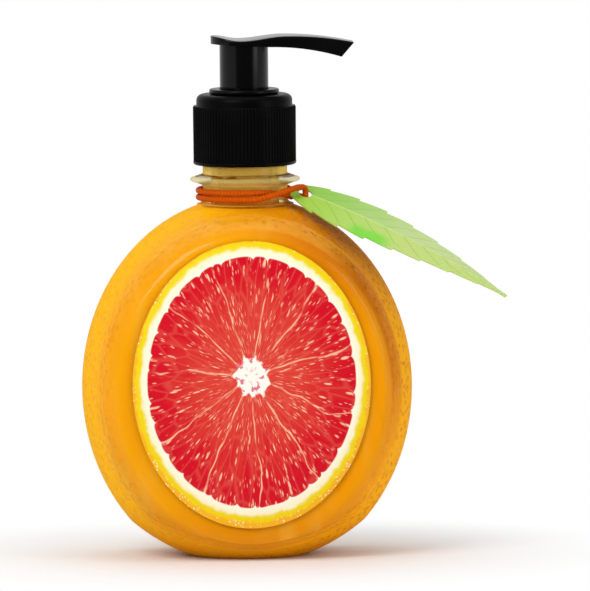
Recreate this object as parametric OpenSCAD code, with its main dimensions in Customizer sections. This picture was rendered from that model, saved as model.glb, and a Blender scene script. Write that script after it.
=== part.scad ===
// Liquid soap bottle shaped like a citrus fruit, with a lotion pump, a printed
// front label and a leaf tag on an elastic loop round the neck.
// Millimetres. Z is up, the base stands on z = 0, the pump's axis is the Z axis,
// the label faces -Y and the spout points to +X.

/* [Bottle body] */
// Half the width of the body's oval
body_half_w = 54.3; // [48:0.1:60]
// Half the height of the body's oval before its base is cut flat
body_half_h = 62.5; // [60:0.1:66]
// Half the depth, from the middle to the flat front panel
body_half_d = 28; // [24:0.5:32]
// How far the flat panels end inside the body's oval, at top and bottom
panel_step = 12.5; // [11.5:0.1:12.6]
// How far the rounding of a panel's edge reaches in over the panel
panel_edge = 2.8; // [2:0.1:4]
// How much of the body's oval is cut off at the base
base_cut = 6.9; // [5.5:0.1:9.5]
// Wall of the blown body
wall = 1; // [0.6:0.1:1.6]
// Thickness of the base
base_t = 1.4; // [1:0.1:2.5]
// Depth of the hollow under the base
push_up = 1.8; // [1:0.1:3]
// Radius of the hollow under the base
push_up_r = 14; // [10:0.5:16]
// Radius of the flat ring that the bottle stands on
stand_r = 21.7; // [19:0.1:23]
// How much larger the ball is that rounds the base off
bowl_over = 11.3; // [7.5:0.1:15.5]

/* [Neck] */
// Gap between the pump's chamber and the neck's bore
chamber_gap = 1.35; // [0.8:0.05:2]
// Wall of the finish inside the closure
finish_wall = 1.7; // [1.4:0.1:2.2]
// Step from the finish out to the neck above and below its ring
neck_step = 1; // [0.6:0.1:1.4]
// Reach of the neck ring beyond the neck
ring_reach = 4.2; // [3:0.1:6]
// Thickness of the neck ring at its edge
ring_edge_t = 1.2; // [0.8:0.1:1.8]
// Thickness of the neck ring where it meets the neck
ring_root_t = 3.7; // [3:0.1:5]
// Height of the groove between the shoulder and the ring
groove_h = 6.2; // [6:0.1:9]
// Fillet between neck and shoulder
neck_fillet_r = 2; // [1:0.1:2.5]
// Gap between the neck ring and the closure
closure_gap = 3; // [2:0.1:5]
// Height of the finish that the closure covers
finish_h = 18.2; // [15:0.1:22]

/* [Soap] */
// Height of the soap above the neck ring
fill_above_ring = 5; // [3:0.5:8]
// Gap between the soap and what it lies against
fill_gap = 0.2; // [0.1:0.05:0.3]

/* [Label] */
// Gap between the oval label's side and the panel's edge
label_side_gap = 4.3; // [3:0.1:9]
// Gap between the label's top and the panel's edge
label_top_gap = 0.1; // [0:0.1:5]
// Height of the label's middle above the body's middle
label_rise = 2.6; // [0:0.1:2.6]
// Thickness of the label
label_t = 0.15; // [0.1:0.05:0.3]

/* [Closure] */
// Wall of the closure, ribs included
closure_wall = 2.7; // [2.2:0.1:4]
// Number of ribs
rib_count = 90; // [60:1:110]
// Depth of the ribs
rib_depth = 0.4; // [0.2:0.05:0.6]
// Height of the plain rim under the ribs
rim_h = 1.2; // [0.8:0.1:2]
// Step from the ribs in to the smooth shoulder above them
shoulder_step = 1.2; // [0.7:0.1:1.6]
// Height of the smooth shoulder
shoulder_h = 3.8; // [3:0.1:5]
// Rounding of the shoulder's top edge
shoulder_r = 1.5; // [0.5:0.1:2.5]
// Thickness of the closure's top
closure_top_t = 2.4; // [1.8:0.1:3]
// Gap between the closure and the neck
closure_clear = 0.4; // [0.3:0.05:0.6]

/* [Pump body] */
// Travel of the pump head
stroke = 12; // [8:0.5:14]
// Gap that is left under the head when it is pressed
head_rest_gap = 1.1; // [0.5:0.1:2]
// Thickness of the gasket
gasket_t = 1.2; // [0.8:0.1:2]
// Thickness of the housing's flange
flange_t = 1.2; // [0.8:0.1:2]
// Gap between faces that turn or slide on each other
slide_gap = 0.2; // [0.1:0.05:0.3]
// Radial gap of pieces that are pressed together
press_gap = 0.05; // [0.02:0.01:0.1]
// Radial gap of the piston in its cylinder
piston_gap = 0.08; // [0.05:0.01:0.12]
// Wall of the lock collar
collar_wall = 0.8; // [0.6:0.05:1]
// Reach of the lock collar's flange beyond the closure's hole
collar_rim = 2.1; // [1:0.1:3.5]
// Thickness of the lock collar's flange
collar_t = 1.5; // [1:0.1:2.5]
// Thickness of the lock collar's floor
collar_floor_t = 1.5; // [1:0.1:2.5]
// Wall of the housing's upper chamber
chamber_wall = 0.8; // [0.6:0.05:1]
// Step from the pump cylinder's bore out to the lock collar's
cylinder_step = 2; // [1.6:0.1:3]
// Wall of the pump cylinder
cylinder_wall = 1.1; // [0.8:0.1:1.4]
// Length of the return spring at rest
spring_len = 24; // [21:0.5:28]
// Gap between the return spring and the cylinder
spring_gap = 0.9; // [0.6:0.1:1.2]
// Wire of the return spring
wire_d = 0.9; // [0.7:0.1:1]
// Number of turns of the return spring
spring_turns = 8; // [6:1:9]
// Diameter of the inlet ball
ball_d = 5.5; // [5:0.1:6]
// Lift of the inlet ball
ball_lift = 2; // [1:0.1:2.5]
// Outer diameter of the dip tube
tube_d = 5.5; // [5:0.1:6]
// Wall of the dip tube
tube_wall = 0.75; // [0.5:0.05:1]
// Length of the dip tube inside its socket
socket_len = 10; // [6:0.5:14]
// Gap between the dip tube's tip and the base
tube_foot_gap = 2; // [1:0.1:6]

/* [Plunger] */
// Outer diameter of the stem
stem_d = 7; // [6:0.1:7.6]
// Wall of the stem
stem_wall = 1.3; // [0.9:0.1:1.6]
// Room for the piston between the stem and the cylinder
piston_room = 2.7; // [2.5:0.1:3.5]
// Height of the piston
piston_h = 7; // [6.5:0.1:9]
// Gap between the seat under the piston and the cylinder
seat_gap = 0.7; // [0.5:0.1:1]
// Thickness of the seat's flange
seat_t = 1.6; // [1:0.1:2.5]
// Length of the seat's plug in the stem
plug_len = 3.5; // [2:0.1:4]

/* [Pump head] */
// Wall of the head's skirt
skirt_wall = 1.2; // [0.8:0.1:1.5]
// Depth of the skirt inside the collar at rest
skirt_engage = 2.7; // [1.5:0.1:4]
// Thickness of the head over its underside
head_t = 4.4; // [4:0.1:6]
// Reach of the spout's tip from the axis
spout_reach = 36; // [30:0.5:45]
// Reach of the finger pad behind the skirt
pad_tail = 2.9; // [2:0.1:5]
// Reach of the finger pad beside the skirt
pad_side = 0.7; // [0.3:0.1:2]
// Distance from the skirt to the highest place of the spout
crest_run = 5.4; // [4:0.1:8]
// Half the width of the spout at its tip
tip_half_w = 4.6; // [3.5:0.1:6]
// Drop of the spout's top edge at its tip
tip_drop = 2.4; // [1:0.1:4]
// Depth of the finger dish in the pad
dish_depth = 1.4; // [0.5:0.1:2]
// How far the tip's end is cut back under the spout
tip_cut = 4; // [2:0.1:6]
// Bore of the spout
spout_bore = 2; // [1.6:0.1:2.2]

/* [Neck loop] */
// Diameter of the elastic cord
cord_d = 2; // [1.6:0.1:2.2]
// Gap between the loop and the neck
cord_gap = 0.4; // [0.3:0.05:0.6]

/* [Leaf tag] */
// Direction of the leaf round the neck, in degrees from +X towards +Y
leaf_turn = -18.5; // [-30:0.5:-10]
// Length of the leaf along its midrib
leaf_len = 80; // [60:0.5:110]
// Half the width of the leaf
leaf_half_w = 11; // [8:0.5:14]
// Thickness of the card
leaf_t = 0.4; // [0.3:0.05:0.6]
// Slope of the leaf at its stem end, in degrees
leaf_slope_in = 19; // [14:0.5:24]
// Slope of the leaf at its tip, in degrees
leaf_slope_out = 32.5; // [28:0.5:40]
// Tilt of the near half about the midrib, in degrees
leaf_tilt_near = 27; // [18:1:32]
// Tilt of the far half about the midrib, in degrees
leaf_tilt_far = 23; // [14:1:28]
// Number of teeth along each edge
leaf_teeth = 8; // [5:1:12]
// Depth of a tooth as a share of the half width
tooth_share = 0.12; // [0.05:0.01:0.2]
// Diameter of the hole for the loop
leaf_hole_d = 4.4; // [4:0.1:5]
// Distance of the hole from the stem end
leaf_hole_in = 3.7; // [3.4:0.1:4.5]

/* [Hidden] */
$fn = 96;
far = 400;          // larger than the whole bottle
seam = 0.5;         // how far joined solids run into each other

// The body is a ball of radius body_half_h with two flat panels, narrowed in width and depth
body_mid_z = body_half_h - base_cut;
bowl_r = body_half_h + bowl_over;
width_share = body_half_w / body_half_h;
panel_half_h = body_half_h - panel_step;
corner_r = panel_half_h + panel_edge;
depth_share = body_half_d / sqrt(body_half_h^2 - corner_r^2);
// Distance of the rim from the body's middle, at depth y
function rim_at(y) = sqrt(body_half_h^2 - (y / depth_share)^2);

label_half_w = panel_half_h * width_share - label_side_gap;
label_half_h = panel_half_h - label_rise - label_top_gap;

// Radii from the stem out to the closure, each by a wall or a gap
stem_r = stem_d / 2;
stem_in_r = stem_r - stem_wall;
cylinder_in_r = stem_r + piston_room;
cylinder_r = cylinder_in_r + cylinder_wall;
spring_r = cylinder_in_r - spring_gap;
seat_r = cylinder_in_r - seat_gap;
collar_in_r = cylinder_in_r + cylinder_step;
skirt_r = collar_in_r - slide_gap;
collar_r = collar_in_r + collar_wall;
hole_r = collar_r + 2 * slide_gap;
collar_rim_r = hole_r + collar_rim;
chamber_in_r = collar_r + press_gap;
chamber_r = chamber_in_r + chamber_wall;
bore_r = chamber_r + chamber_gap;
finish_r = bore_r + finish_wall;
neck_r = finish_r + neck_step;
ring_r = neck_r + ring_reach;
closure_in_r = neck_r + closure_clear;
closure_r = closure_in_r + closure_wall;
rib_root_r = closure_r - rib_depth;
shoulder_out_r = closure_r - shoulder_step;
edge_chamfer = 0.5;

// Levels up the neck and the closure
root_z = body_mid_z + rim_at(neck_r);
neck_low_z = root_z - neck_fillet_r / 2;
ring_low_z = root_z + groove_h;
ring_high_z = ring_low_z + ring_root_t;
closure_low_z = ring_high_z + closure_gap;
lip_z = closure_low_z + finish_h;
fill_z = ring_high_z + fill_above_ring;
flange_low_z = lip_z + gasket_t;
flange_top_z = flange_low_z + flange_t;
closure_in_z = flange_top_z + slide_gap;
closure_top_z = closure_in_z + closure_top_t;
rib_top_z = closure_top_z - shoulder_h;
collar_low_z = closure_top_z + slide_gap;
collar_top_z = collar_low_z + collar_t;

// Levels down the pump
head_low_z = collar_top_z + stroke + head_rest_gap;
skirt_low_z = collar_top_z - skirt_engage;
collar_floor_z = skirt_low_z - stroke - slide_gap;
chamber_floor_z = collar_floor_z - collar_floor_t;
piston_top_z = chamber_floor_z - slide_gap;
piston_low_z = piston_top_z - piston_h;
seat_top_z = piston_low_z - slide_gap;
seat_low_z = seat_top_z - seat_t;
spring_top_z = seat_low_z - press_gap;
ledge_z = spring_top_z - spring_len - press_gap;

// Ball cage and dip tube socket under the cylinder; the seat is a 45 degree cone
ball_r = ball_d / 2;
cage_gap = 0.6;
cage_in_r = ball_r + cage_gap;
cage_wall = 1.4;
cage_r = cage_in_r + cage_wall;
inlet_r = ball_r * cos(45) - press_gap;
cage_h = ball_r * (1 + sin(45)) + ball_lift + 2 * slide_gap;
inlet_top_z = ledge_z - cage_h;
ball_z = inlet_top_z + (ball_r + press_gap) / cos(45) - inlet_r;
web_t = 1.5;
socket_top_z = inlet_top_z - web_t;
tube_r = tube_d / 2;
socket_in_r = tube_r + press_gap;
socket_wall = 1.3;
socket_r = socket_in_r + socket_wall;
socket_low_z = socket_top_z - socket_len;
tube_top_z = socket_top_z - slide_gap;
tube_low_z = base_t + push_up + tube_foot_gap;

// Head: places along the spout, and heights over its underside
pad_reach = skirt_r + pad_tail;
pad_half_w = skirt_r + pad_side;
crest_x = skirt_r + crest_run;
under_drop = 2.8;
lip_rise = 1.4;
lip_round = 0.4;
channel_rise = 1.4;
channel_drop = 1.8;
stem_cover = 1;
stem_top_z = head_low_z - stem_cover;

// Loop and leaf
cord_r = cord_d / 2;
loop_r = neck_r + cord_gap + cord_r;
loop_low_z = root_z + neck_fillet_r / 2 + cord_r + slide_gap;
loop_high_z = loop_low_z + cord_d + slide_gap;
leaf_gap = 0.5;
leaf_in_r = loop_r + cord_r + leaf_gap;
hole_at_r = leaf_in_r + leaf_hole_in;
leaf_lift = 2.6;
leaf_z = loop_low_z + leaf_lift;
leaf_bend_r = leaf_len / ((leaf_slope_out - leaf_slope_in) * PI / 180);
leaf_hole_z = leaf_z - leaf_hole_in * sin(leaf_slope_in);
cord_under = 2.4;
cord_under_z = leaf_hole_z - cord_under;

// Points on an arc about (x, y), ends included
function arc(x, y, r, from, to, steps) =
    [for (i = [0:steps]) let (a = from + (to - from) * i / steps) [x + r * cos(a), y + r * sin(a)]];

// Point at radius r, turn a and height z about the Z axis
function around(r, a, z) = [r * cos(a), r * sin(a), z];

function unit(v) = v / norm(v);

// Outline of the panels and their rounded edges, smaller by inset on every side, before the
// body is narrowed. An edge is rounded in two steps, and the second runs out past the ball.
module panel_outline(inset) {
    ball_edge_r = body_half_h - inset;
    flat_y = (body_half_d - inset) / depth_share;
    corner = [sqrt(ball_edge_r^2 - flat_y^2), flat_y];
    edge_in = corner - [panel_edge, 0];
    edge_run = 1.5 * panel_edge;
    out_x = corner[0] + edge_run;
    edge_out = [out_x, sqrt(ball_edge_r^2 - out_x^2)];
    edge_mid = (edge_in + 2 * corner + edge_out) / 4;
    overrun = 1.4;
    past = edge_mid + overrun * (edge_out - edge_mid);
    polygon([
        [0, -flat_y],
        [edge_in[0], -flat_y],
        [edge_mid[0], -edge_mid[1]],
        [past[0], -past[1]],
        [far, 0],
        past,
        edge_mid,
        edge_in,
        [0, flat_y]]);
}

// The ball between its panels and above low_z, rounded off by a larger ball towards the base
// and hollowed by the base's dome, which are both raised by lift. Both balls are turned so that
// their poles lie beyond the panels and their seams are cut away.
module body_ball(inset, low_z, lift) {
    dome_r = (push_up_r^2 + push_up^2) / (2 * push_up);
    difference() {
        intersection() {
            translate([0, 0, body_mid_z]) rotate([90, -90, 0]) sphere(r = body_half_h - inset);
            translate([0, 0, sqrt(bowl_r^2 - stand_r^2)]) rotate([90, 0, 0]) sphere(r = bowl_r - lift);
            translate([0, 0, body_mid_z]) rotate([90, 0, 0]) rotate_extrude() panel_outline(inset);
        }
        translate([-far / 2, -far / 2, low_z - far]) cube(far);
        translate([0, 0, push_up - dome_r]) sphere(r = dome_r + lift);
    }
}

module bottle() {
    ring_mid_z = (ring_low_z + ring_high_z) / 2;
    color([0.98, 0.72, 0.2, 0.5]) difference() {
        union() {
            scale([width_share, depth_share, 1]) difference() {
                body_ball(0, -seam, 0);
                body_ball(wall, base_t, base_t);
            }
            rotate_extrude() polygon(concat(
                [[bore_r - seam, neck_low_z],
                 [neck_r + neck_fillet_r, neck_low_z]],
                arc(neck_r + neck_fillet_r, root_z + neck_fillet_r, neck_fillet_r, 270, 180, 6),
                [[neck_r, ring_low_z],
                 [ring_r, ring_mid_z - ring_edge_t / 2],
                 [ring_r, ring_mid_z + ring_edge_t / 2],
                 [neck_r, ring_high_z],
                 [neck_r, closure_low_z - edge_chamfer],
                 [finish_r, closure_low_z + edge_chamfer],
                 [finish_r, lip_z],
                 [bore_r - seam, lip_z]]));
        }
        translate([0, 0, body_mid_z]) cylinder(r = bore_r, h = far);
        translate([-far / 2, -far / 2, -far]) cube(far);
    }
}

// Space that the pump takes up in the soap, larger by gap all round
module pump_space(gap) {
    rotate_extrude() polygon([
        [0, tube_low_z - gap],
        [tube_r + gap, tube_low_z - gap],
        [tube_r + gap, socket_low_z - gap],
        [socket_r + gap, socket_low_z - gap],
        [socket_r + gap, socket_top_z - gap],
        [cage_r + gap, socket_top_z - gap],
        [cage_r + gap, ledge_z - web_t - gap],
        [cylinder_r + gap, ledge_z - web_t - gap],
        [cylinder_r + gap, chamber_floor_z - web_t - gap],
        [chamber_r + gap, chamber_floor_z - web_t - gap],
        [chamber_r + gap, lip_z],
        [0, lip_z]]);
}

module liquid_soap() {
    color([0.98, 0.62, 0.08]) difference() {
        union() {
            difference() {
                scale([width_share, depth_share, 1])
                    body_ball(wall + fill_gap, base_t + fill_gap, base_t + fill_gap);
                translate([0, 0, neck_low_z - fill_gap])
                    cylinder(r = neck_r + neck_fillet_r + fill_gap, h = far);
            }
            translate([0, 0, body_mid_z]) cylinder(r = bore_r - fill_gap, h = fill_z - body_mid_z);
        }
        pump_space(fill_gap);
    }
}

module front_label() {
    color([0.88, 0.25, 0.22])
        translate([0, -body_half_d, body_mid_z + label_rise]) rotate([90, 0, 0])
            linear_extrude(height = label_t)
                scale([label_half_w / label_half_h, 1]) circle(r = label_half_h);
}

// Tube along points, with sides flats; the points of a closed one run round to the first.
// Each ring is set square to the route and starts from the side away from the Z axis.
module tube(points, r, sides, closed) {
    n = len(points);
    function ahead(i) = closed ? points[(i + 1) % n] : points[min(i + 1, n - 1)];
    function behind(i) = closed ? points[(i + n - 1) % n] : points[max(i - 1, 0)];
    rings = [for (i = [0:n - 1])
        let (along = unit(ahead(i) - behind(i)),
             away = unit([points[i][0], points[i][1], 0]),
             out = unit(away - (away * along) * along),
             side = cross(along, out))
        for (k = [0:sides - 1])
            points[i] + r * (cos(360 * k / sides) * out + sin(360 * k / sides) * side)];
    walls = [for (i = [0:(closed ? n - 1 : n - 2)], k = [0:sides - 1])
        let (a = i * sides, b = ((i + 1) % n) * sides, k2 = (k + 1) % sides)
        each [[a + k, b + k, b + k2], [a + k, b + k2, a + k2]]];
    ends = closed ? [] : [[for (k = [0:sides - 1]) k],
                          [for (k = [sides - 1:-1:0]) (n - 1) * sides + k]];
    polyhedron(rings, concat(walls, ends));
}

// The loop: up from under the leaf's hole, once round the neck as the upper turn,
// once as the lower turn, then out in front, over the leaf and down its hole.
function at_leaf(r, a, z) = around(r, leaf_turn + a, z);
loop_points = concat(
    [at_leaf(hole_at_r, 0, cord_under_z),
     at_leaf(hole_at_r - 0.6, 15, cord_under_z + 0.4),
     at_leaf(loop_r + 2.2, 29, loop_low_z),
     at_leaf(loop_r + 0.8, 45, loop_high_z - 0.1)],
    [for (a = [65:15:305]) at_leaf(loop_r, a, loop_high_z)],
    [at_leaf(loop_r, 325, loop_high_z - 0.5),
     at_leaf(loop_r, 345, (loop_low_z + loop_high_z) / 2),
     at_leaf(loop_r, 365, loop_low_z)],
    [for (a = [385:15:625]) at_leaf(loop_r, a, loop_low_z)],
    [at_leaf(loop_r + 0.4, 645, loop_low_z),
     at_leaf(loop_r + 1.2, 662, loop_low_z + 0.3),
     at_leaf(loop_r + 2.3, 680, loop_low_z + 1.6),
     at_leaf(loop_r + 3.4, 697, loop_low_z + 2.9),
     at_leaf(loop_r + 4.3, 710, loop_low_z + 3.5),
     at_leaf(hole_at_r, 719, loop_low_z + 2.8)]);

module neck_loop() {
    color([0.83, 0.33, 0.05]) tube(loop_points, cord_r, 8, true);
}

// Half width of the leaf at a share s of its length, without its teeth
leaf_stub = 0.04;
leaf_fullness = 0.63;
function leaf_width(s) =
    leaf_half_w * max(2 * leaf_stub, sin(180 * (leaf_stub + (1 - leaf_stub) * s)^leaf_fullness));

module leaf_tag() {
    shares = [0, 0.35, 0.7, 0.97];
    stations = [for (k = [0:leaf_teeth - 1], f = shares)
        [(k + f) / leaf_teeth, 1 - tooth_share * (1 - f)]];
    across = [-1, -0.5, 0, 0.5, 1];
    count = len(across);
    // One face of the card, lift above the middle of its thickness
    function face_points(lift) = [for (st = stations, v = across)
        let (slope = leaf_slope_in + (leaf_slope_out - leaf_slope_in) * st[0],
             reach = leaf_in_r + leaf_bend_r * (sin(slope) - sin(leaf_slope_in)),
             z = leaf_z - leaf_bend_r * (cos(leaf_slope_in) - cos(slope)),
             tilt = v < 0 ? leaf_tilt_near : leaf_tilt_far,
             off = v * leaf_width(st[0]) * st[1],
             up = off * sin(tilt) + lift)
        [reach + up * sin(slope), off * cos(tilt), z + up * cos(slope)]];
    n = len(stations) * count;
    last = len(stations) - 2;
    grid = [for (i = [0:last], j = [0:count - 2])
        let (a = i * count + j, b = a + count) each [[a, b, b + 1], [a, b + 1, a + 1]]];
    top = [for (f = grid) [f[0], f[2], f[1]]];
    under = [for (f = grid) [f[0] + n, f[1] + n, f[2] + n]];
    sides = [for (i = [0:last], j = [0, count - 1])
        let (a = i * count + j, b = a + count)
        each (j == 0 ? [[a, b, b + n], [a, b + n, a + n]] : [[a, b + n, b], [a, a + n, b + n]])];
    tips = [for (i = [0, last + 1], j = [0:count - 2])
        let (a = i * count + j, b = a + 1)
        each (i == 0 ? [[a, b + n, b], [a, a + n, b + n]] : [[a, b, b + n], [a, b + n, a + n]])];
    color([0.55, 0.8, 0.25]) rotate([0, 0, leaf_turn]) difference() {
        polyhedron(concat(face_points(leaf_t / 2), face_points(-leaf_t / 2)),
                   concat(top, under, sides, tips));
        translate([hole_at_r, 0, 0]) cylinder(d = leaf_hole_d, h = far);
    }
}

module screw_closure() {
    pitch = 360 / rib_count;
    rib_shy = 0.1;
    crest_r = closure_r - rib_shy;
    foot = 0.34;
    crest = 0.14;
    color([0.05, 0.05, 0.055]) difference() {
        union() {
            translate([0, 0, closure_low_z + rim_h - seam])
                linear_extrude(height = rib_top_z - closure_low_z - rim_h + seam)
                    polygon([
                        for (i = [0:rib_count - 1], p = [[-foot, 0], [-crest, 1], [crest, 1], [foot, 0]])
                        let (r = rib_root_r + p[1] * (crest_r - rib_root_r), a = (i + p[0]) * pitch)
                        [r * cos(a), r * sin(a)]]);
            rotate_extrude() polygon([
                [closure_in_r - seam, closure_low_z],
                [closure_r - edge_chamfer, closure_low_z],
                [closure_r, closure_low_z + edge_chamfer],
                [closure_r, closure_low_z + rim_h],
                [closure_in_r - seam, closure_low_z + rim_h]]);
            rotate_extrude() polygon(concat(
                [[0, rib_top_z - seam],
                 [shoulder_out_r, rib_top_z - seam]],
                arc(shoulder_out_r - shoulder_r, closure_top_z - shoulder_r, shoulder_r, 0, 90, 6),
                [[0, closure_top_z]]));
        }
        cylinder(r = closure_in_r, h = closure_in_z);
        cylinder(r = hole_r, h = far);
    }
}

module lock_collar() {
    guide_r = stem_r + slide_gap;
    color([0.05, 0.05, 0.055]) rotate_extrude() polygon([
        [guide_r, chamber_floor_z],
        [collar_r, chamber_floor_z],
        [collar_r, collar_low_z],
        [collar_rim_r, collar_low_z],
        [collar_rim_r, collar_top_z - edge_chamfer],
        [collar_rim_r - edge_chamfer, collar_top_z],
        [collar_in_r, collar_top_z],
        [collar_in_r, collar_floor_z],
        [guide_r, collar_floor_z]]);
}

module neck_gasket() {
    color([0.93, 0.93, 0.9]) translate([0, 0, lip_z]) difference() {
        cylinder(r = finish_r, h = gasket_t);
        translate([0, 0, -seam]) cylinder(r = chamber_r + press_gap, h = gasket_t + 2 * seam);
    }
}

module pump_housing() {
    color([0.93, 0.94, 0.92]) rotate_extrude() polygon([
        [chamber_in_r, flange_top_z],
        [chamber_in_r, chamber_floor_z],
        [cylinder_in_r, chamber_floor_z],
        [cylinder_in_r, ledge_z],
        [cage_in_r, ledge_z],
        [cage_in_r, inlet_top_z + cage_in_r - inlet_r],
        [inlet_r, inlet_top_z],
        [inlet_r, socket_top_z],
        [socket_in_r, socket_top_z],
        [socket_in_r, socket_low_z],
        [socket_r, socket_low_z],
        [socket_r, socket_top_z],
        [cage_r, socket_top_z],
        [cage_r, ledge_z - web_t],
        [cylinder_r, ledge_z - web_t],
        [cylinder_r, chamber_floor_z - web_t],
        [chamber_r, chamber_floor_z - web_t],
        [chamber_r, flange_low_z],
        [finish_r, flange_low_z],
        [finish_r, flange_top_z]]);
}

module dip_tube() {
    tip_angle = 25;
    color([0.9, 0.92, 0.9]) difference() {
        translate([0, 0, tube_low_z]) cylinder(d = tube_d, h = tube_top_z - tube_low_z);
        translate([0, 0, tube_low_z - seam]) cylinder(r = tube_r - tube_wall, h = far);
        translate([-tube_d, 0, tube_low_z - seam]) rotate([0, -tip_angle, 0])
            translate([0, -tube_d, -2 * tube_d]) cube([4 * tube_d, 2 * tube_d, 2 * tube_d]);
    }
}

module inlet_ball() {
    color([0.75, 0.76, 0.78]) translate([0, 0, ball_z]) sphere(r = ball_r);
}

// The first and the last turn lie close, the others share the rest of the length
module return_spring() {
    steps = 12;
    close_pitch = 1.1 * wire_d;
    open_pitch = (spring_len - wire_d - 2 * close_pitch) / (spring_turns - 2);
    function rise(t) = t < 1 ? close_pitch * t
        : t > spring_turns - 1 ? spring_len - wire_d - close_pitch * (spring_turns - t)
        : close_pitch + open_pitch * (t - 1);
    color([0.7, 0.71, 0.73]) tube(
        [for (i = [0:spring_turns * steps])
            around(spring_r - wire_d / 2, 360 * i / steps,
                   ledge_z + press_gap + wire_d / 2 + rise(i / steps))],
        wire_d / 2, 6, false);
}

module piston() {
    piston_r = cylinder_in_r - piston_gap;
    in_r = stem_r + piston_gap;
    land_t = 0.9;
    land_r = in_r + land_t;
    waist_depth = 1.3;
    waist_r = piston_r - waist_depth;
    lip_t = 0.45;
    lip_h = 0.8;
    groove = 1.4;
    waist_in = lip_h + groove;
    color([0.9, 0.91, 0.9]) rotate_extrude() polygon([
        [in_r, piston_low_z],
        [land_r, piston_low_z],
        [waist_r - lip_t, piston_low_z + groove],
        [piston_r - lip_t, piston_low_z],
        [piston_r, piston_low_z],
        [piston_r, piston_low_z + lip_h],
        [waist_r, piston_low_z + waist_in],
        [waist_r, piston_top_z - waist_in],
        [piston_r, piston_top_z - lip_h],
        [piston_r, piston_top_z],
        [piston_r - lip_t, piston_top_z],
        [waist_r - lip_t, piston_top_z - groove],
        [land_r, piston_top_z],
        [in_r, piston_top_z]]);
}

module piston_seat() {
    boss_r = spring_r - wire_d - 2 * slide_gap;
    boss_h = 1.5;
    color([0.9, 0.91, 0.9]) rotate_extrude() polygon([
        [0, seat_low_z - boss_h],
        [boss_r - edge_chamfer, seat_low_z - boss_h],
        [boss_r, seat_low_z - boss_h + edge_chamfer],
        [boss_r, seat_low_z],
        [seat_r, seat_low_z],
        [seat_r, seat_top_z],
        [stem_in_r - press_gap, seat_top_z],
        [stem_in_r - press_gap, seat_top_z + plug_len],
        [0, seat_top_z + plug_len]]);
}

module stem() {
    port_d = 2;
    color([0.92, 0.92, 0.9]) difference() {
        translate([0, 0, seat_top_z]) cylinder(r = stem_r, h = stem_top_z - seat_top_z);
        translate([0, 0, seat_top_z - seam]) cylinder(r = stem_in_r, h = far);
        translate([-stem_d, 0, seat_top_z + plug_len + port_d]) rotate([0, 90, 0])
            cylinder(d = port_d, h = 2 * stem_d);
    }
}

// Heights over the head's underside, along the spout
pad_mid = (crest_x - pad_reach) / 2;
pad_span = (crest_x + pad_reach) / 2;
under_end = spout_reach - tip_cut;
function pad_top(x) = head_t - dish_depth * (1 + cos(180 * (x - pad_mid) / pad_span)) / 2;
function spout_top(x) = head_t - tip_drop * ((x - crest_x) / (spout_reach - crest_x))^2;
function spout_under(x) = -under_drop * ((x - skirt_r) / (under_end - skirt_r))^2;

module head_side() {
    polygon(concat(
        [for (i = [0:14]) let (x = -pad_reach + 2 * pad_span * i / 14) [x, pad_top(x)]],
        [for (i = [1:8]) let (x = crest_x + (spout_reach - crest_x) * i / 8) [x, spout_top(x)]],
        [for (i = [8:-1:0]) let (x = skirt_r + (under_end - skirt_r) * i / 8) [x, spout_under(x)]],
        [[-skirt_r, 0],
         [-skirt_r - lip_round, 2 * lip_round],
         [-pad_reach, lip_rise]]));
}

module head_plan() {
    back_x = pad_half_w - pad_reach;
    widths = [for (i = [0:10]) let (t = i / 10, w = t * t * (3 - 2 * t))
        [back_x + (spout_reach + 1 - back_x) * t, pad_half_w + (tip_half_w - pad_half_w) * w]];
    polygon(concat(
        arc(back_x, 0, pad_half_w, 255, 105, 14),
        [for (p = widths) p],
        [for (i = [10:-1:0]) [widths[i][0], -widths[i][1]]]));
}

module pump_head() {
    socket_out_r = stem_r + socket_wall;
    socket_end_gap = 2;
    riser_d = 3.2;
    knee_over = 0.3;
    hollow_top_z = head_low_z - skirt_wall;
    color([0.05, 0.05, 0.055]) difference() {
        union() {
            intersection() {
                translate([0, 0, head_low_z]) rotate([90, 0, 0])
                    linear_extrude(height = far, center = true) head_side();
                translate([0, 0, skirt_low_z]) linear_extrude(height = far) head_plan();
            }
            translate([0, 0, skirt_low_z]) cylinder(r = skirt_r, h = head_low_z - skirt_low_z + seam);
        }
        difference() {
            translate([0, 0, skirt_low_z - seam])
                cylinder(r = skirt_r - skirt_wall, h = hollow_top_z - skirt_low_z + seam);
            translate([0, 0, collar_top_z + socket_end_gap]) cylinder(r = socket_out_r, h = far);
        }
        translate([0, 0, skirt_low_z]) cylinder(r = stem_r + press_gap, h = stem_top_z - skirt_low_z);
        cylinder(d = riser_d, h = head_low_z + channel_rise + spout_bore / 2);
        translate([0, 0, head_low_z + channel_rise]) {
            rotate([0, 90, 0]) cylinder(d = spout_bore, h = crest_x);
            translate([crest_x, 0, 0]) {
                sphere(d = spout_bore + knee_over);
                rotate([0, 90 + atan2(channel_drop, under_end - crest_x), 0])
                    cylinder(d = spout_bore, h = spout_reach);
            }
        }
    }
}

bottle();
liquid_soap();
front_label();
neck_loop();
leaf_tag();
screw_closure();
lock_collar();
neck_gasket();
pump_housing();
dip_tube();
inlet_ball();
return_spring();
piston();
piston_seat();
stem();
pump_head();
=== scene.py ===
"""Looks of a citrus-shaped liquid soap bottle with a lotion pump, an oval label and a leaf tag.

Sizes in capitals are millimetres and angles are radians. Blender objects are in metres.
"""

from math import atan2, cos, pi, radians, sin, sqrt

import bmesh
import bpy
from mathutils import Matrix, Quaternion, Vector


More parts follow.
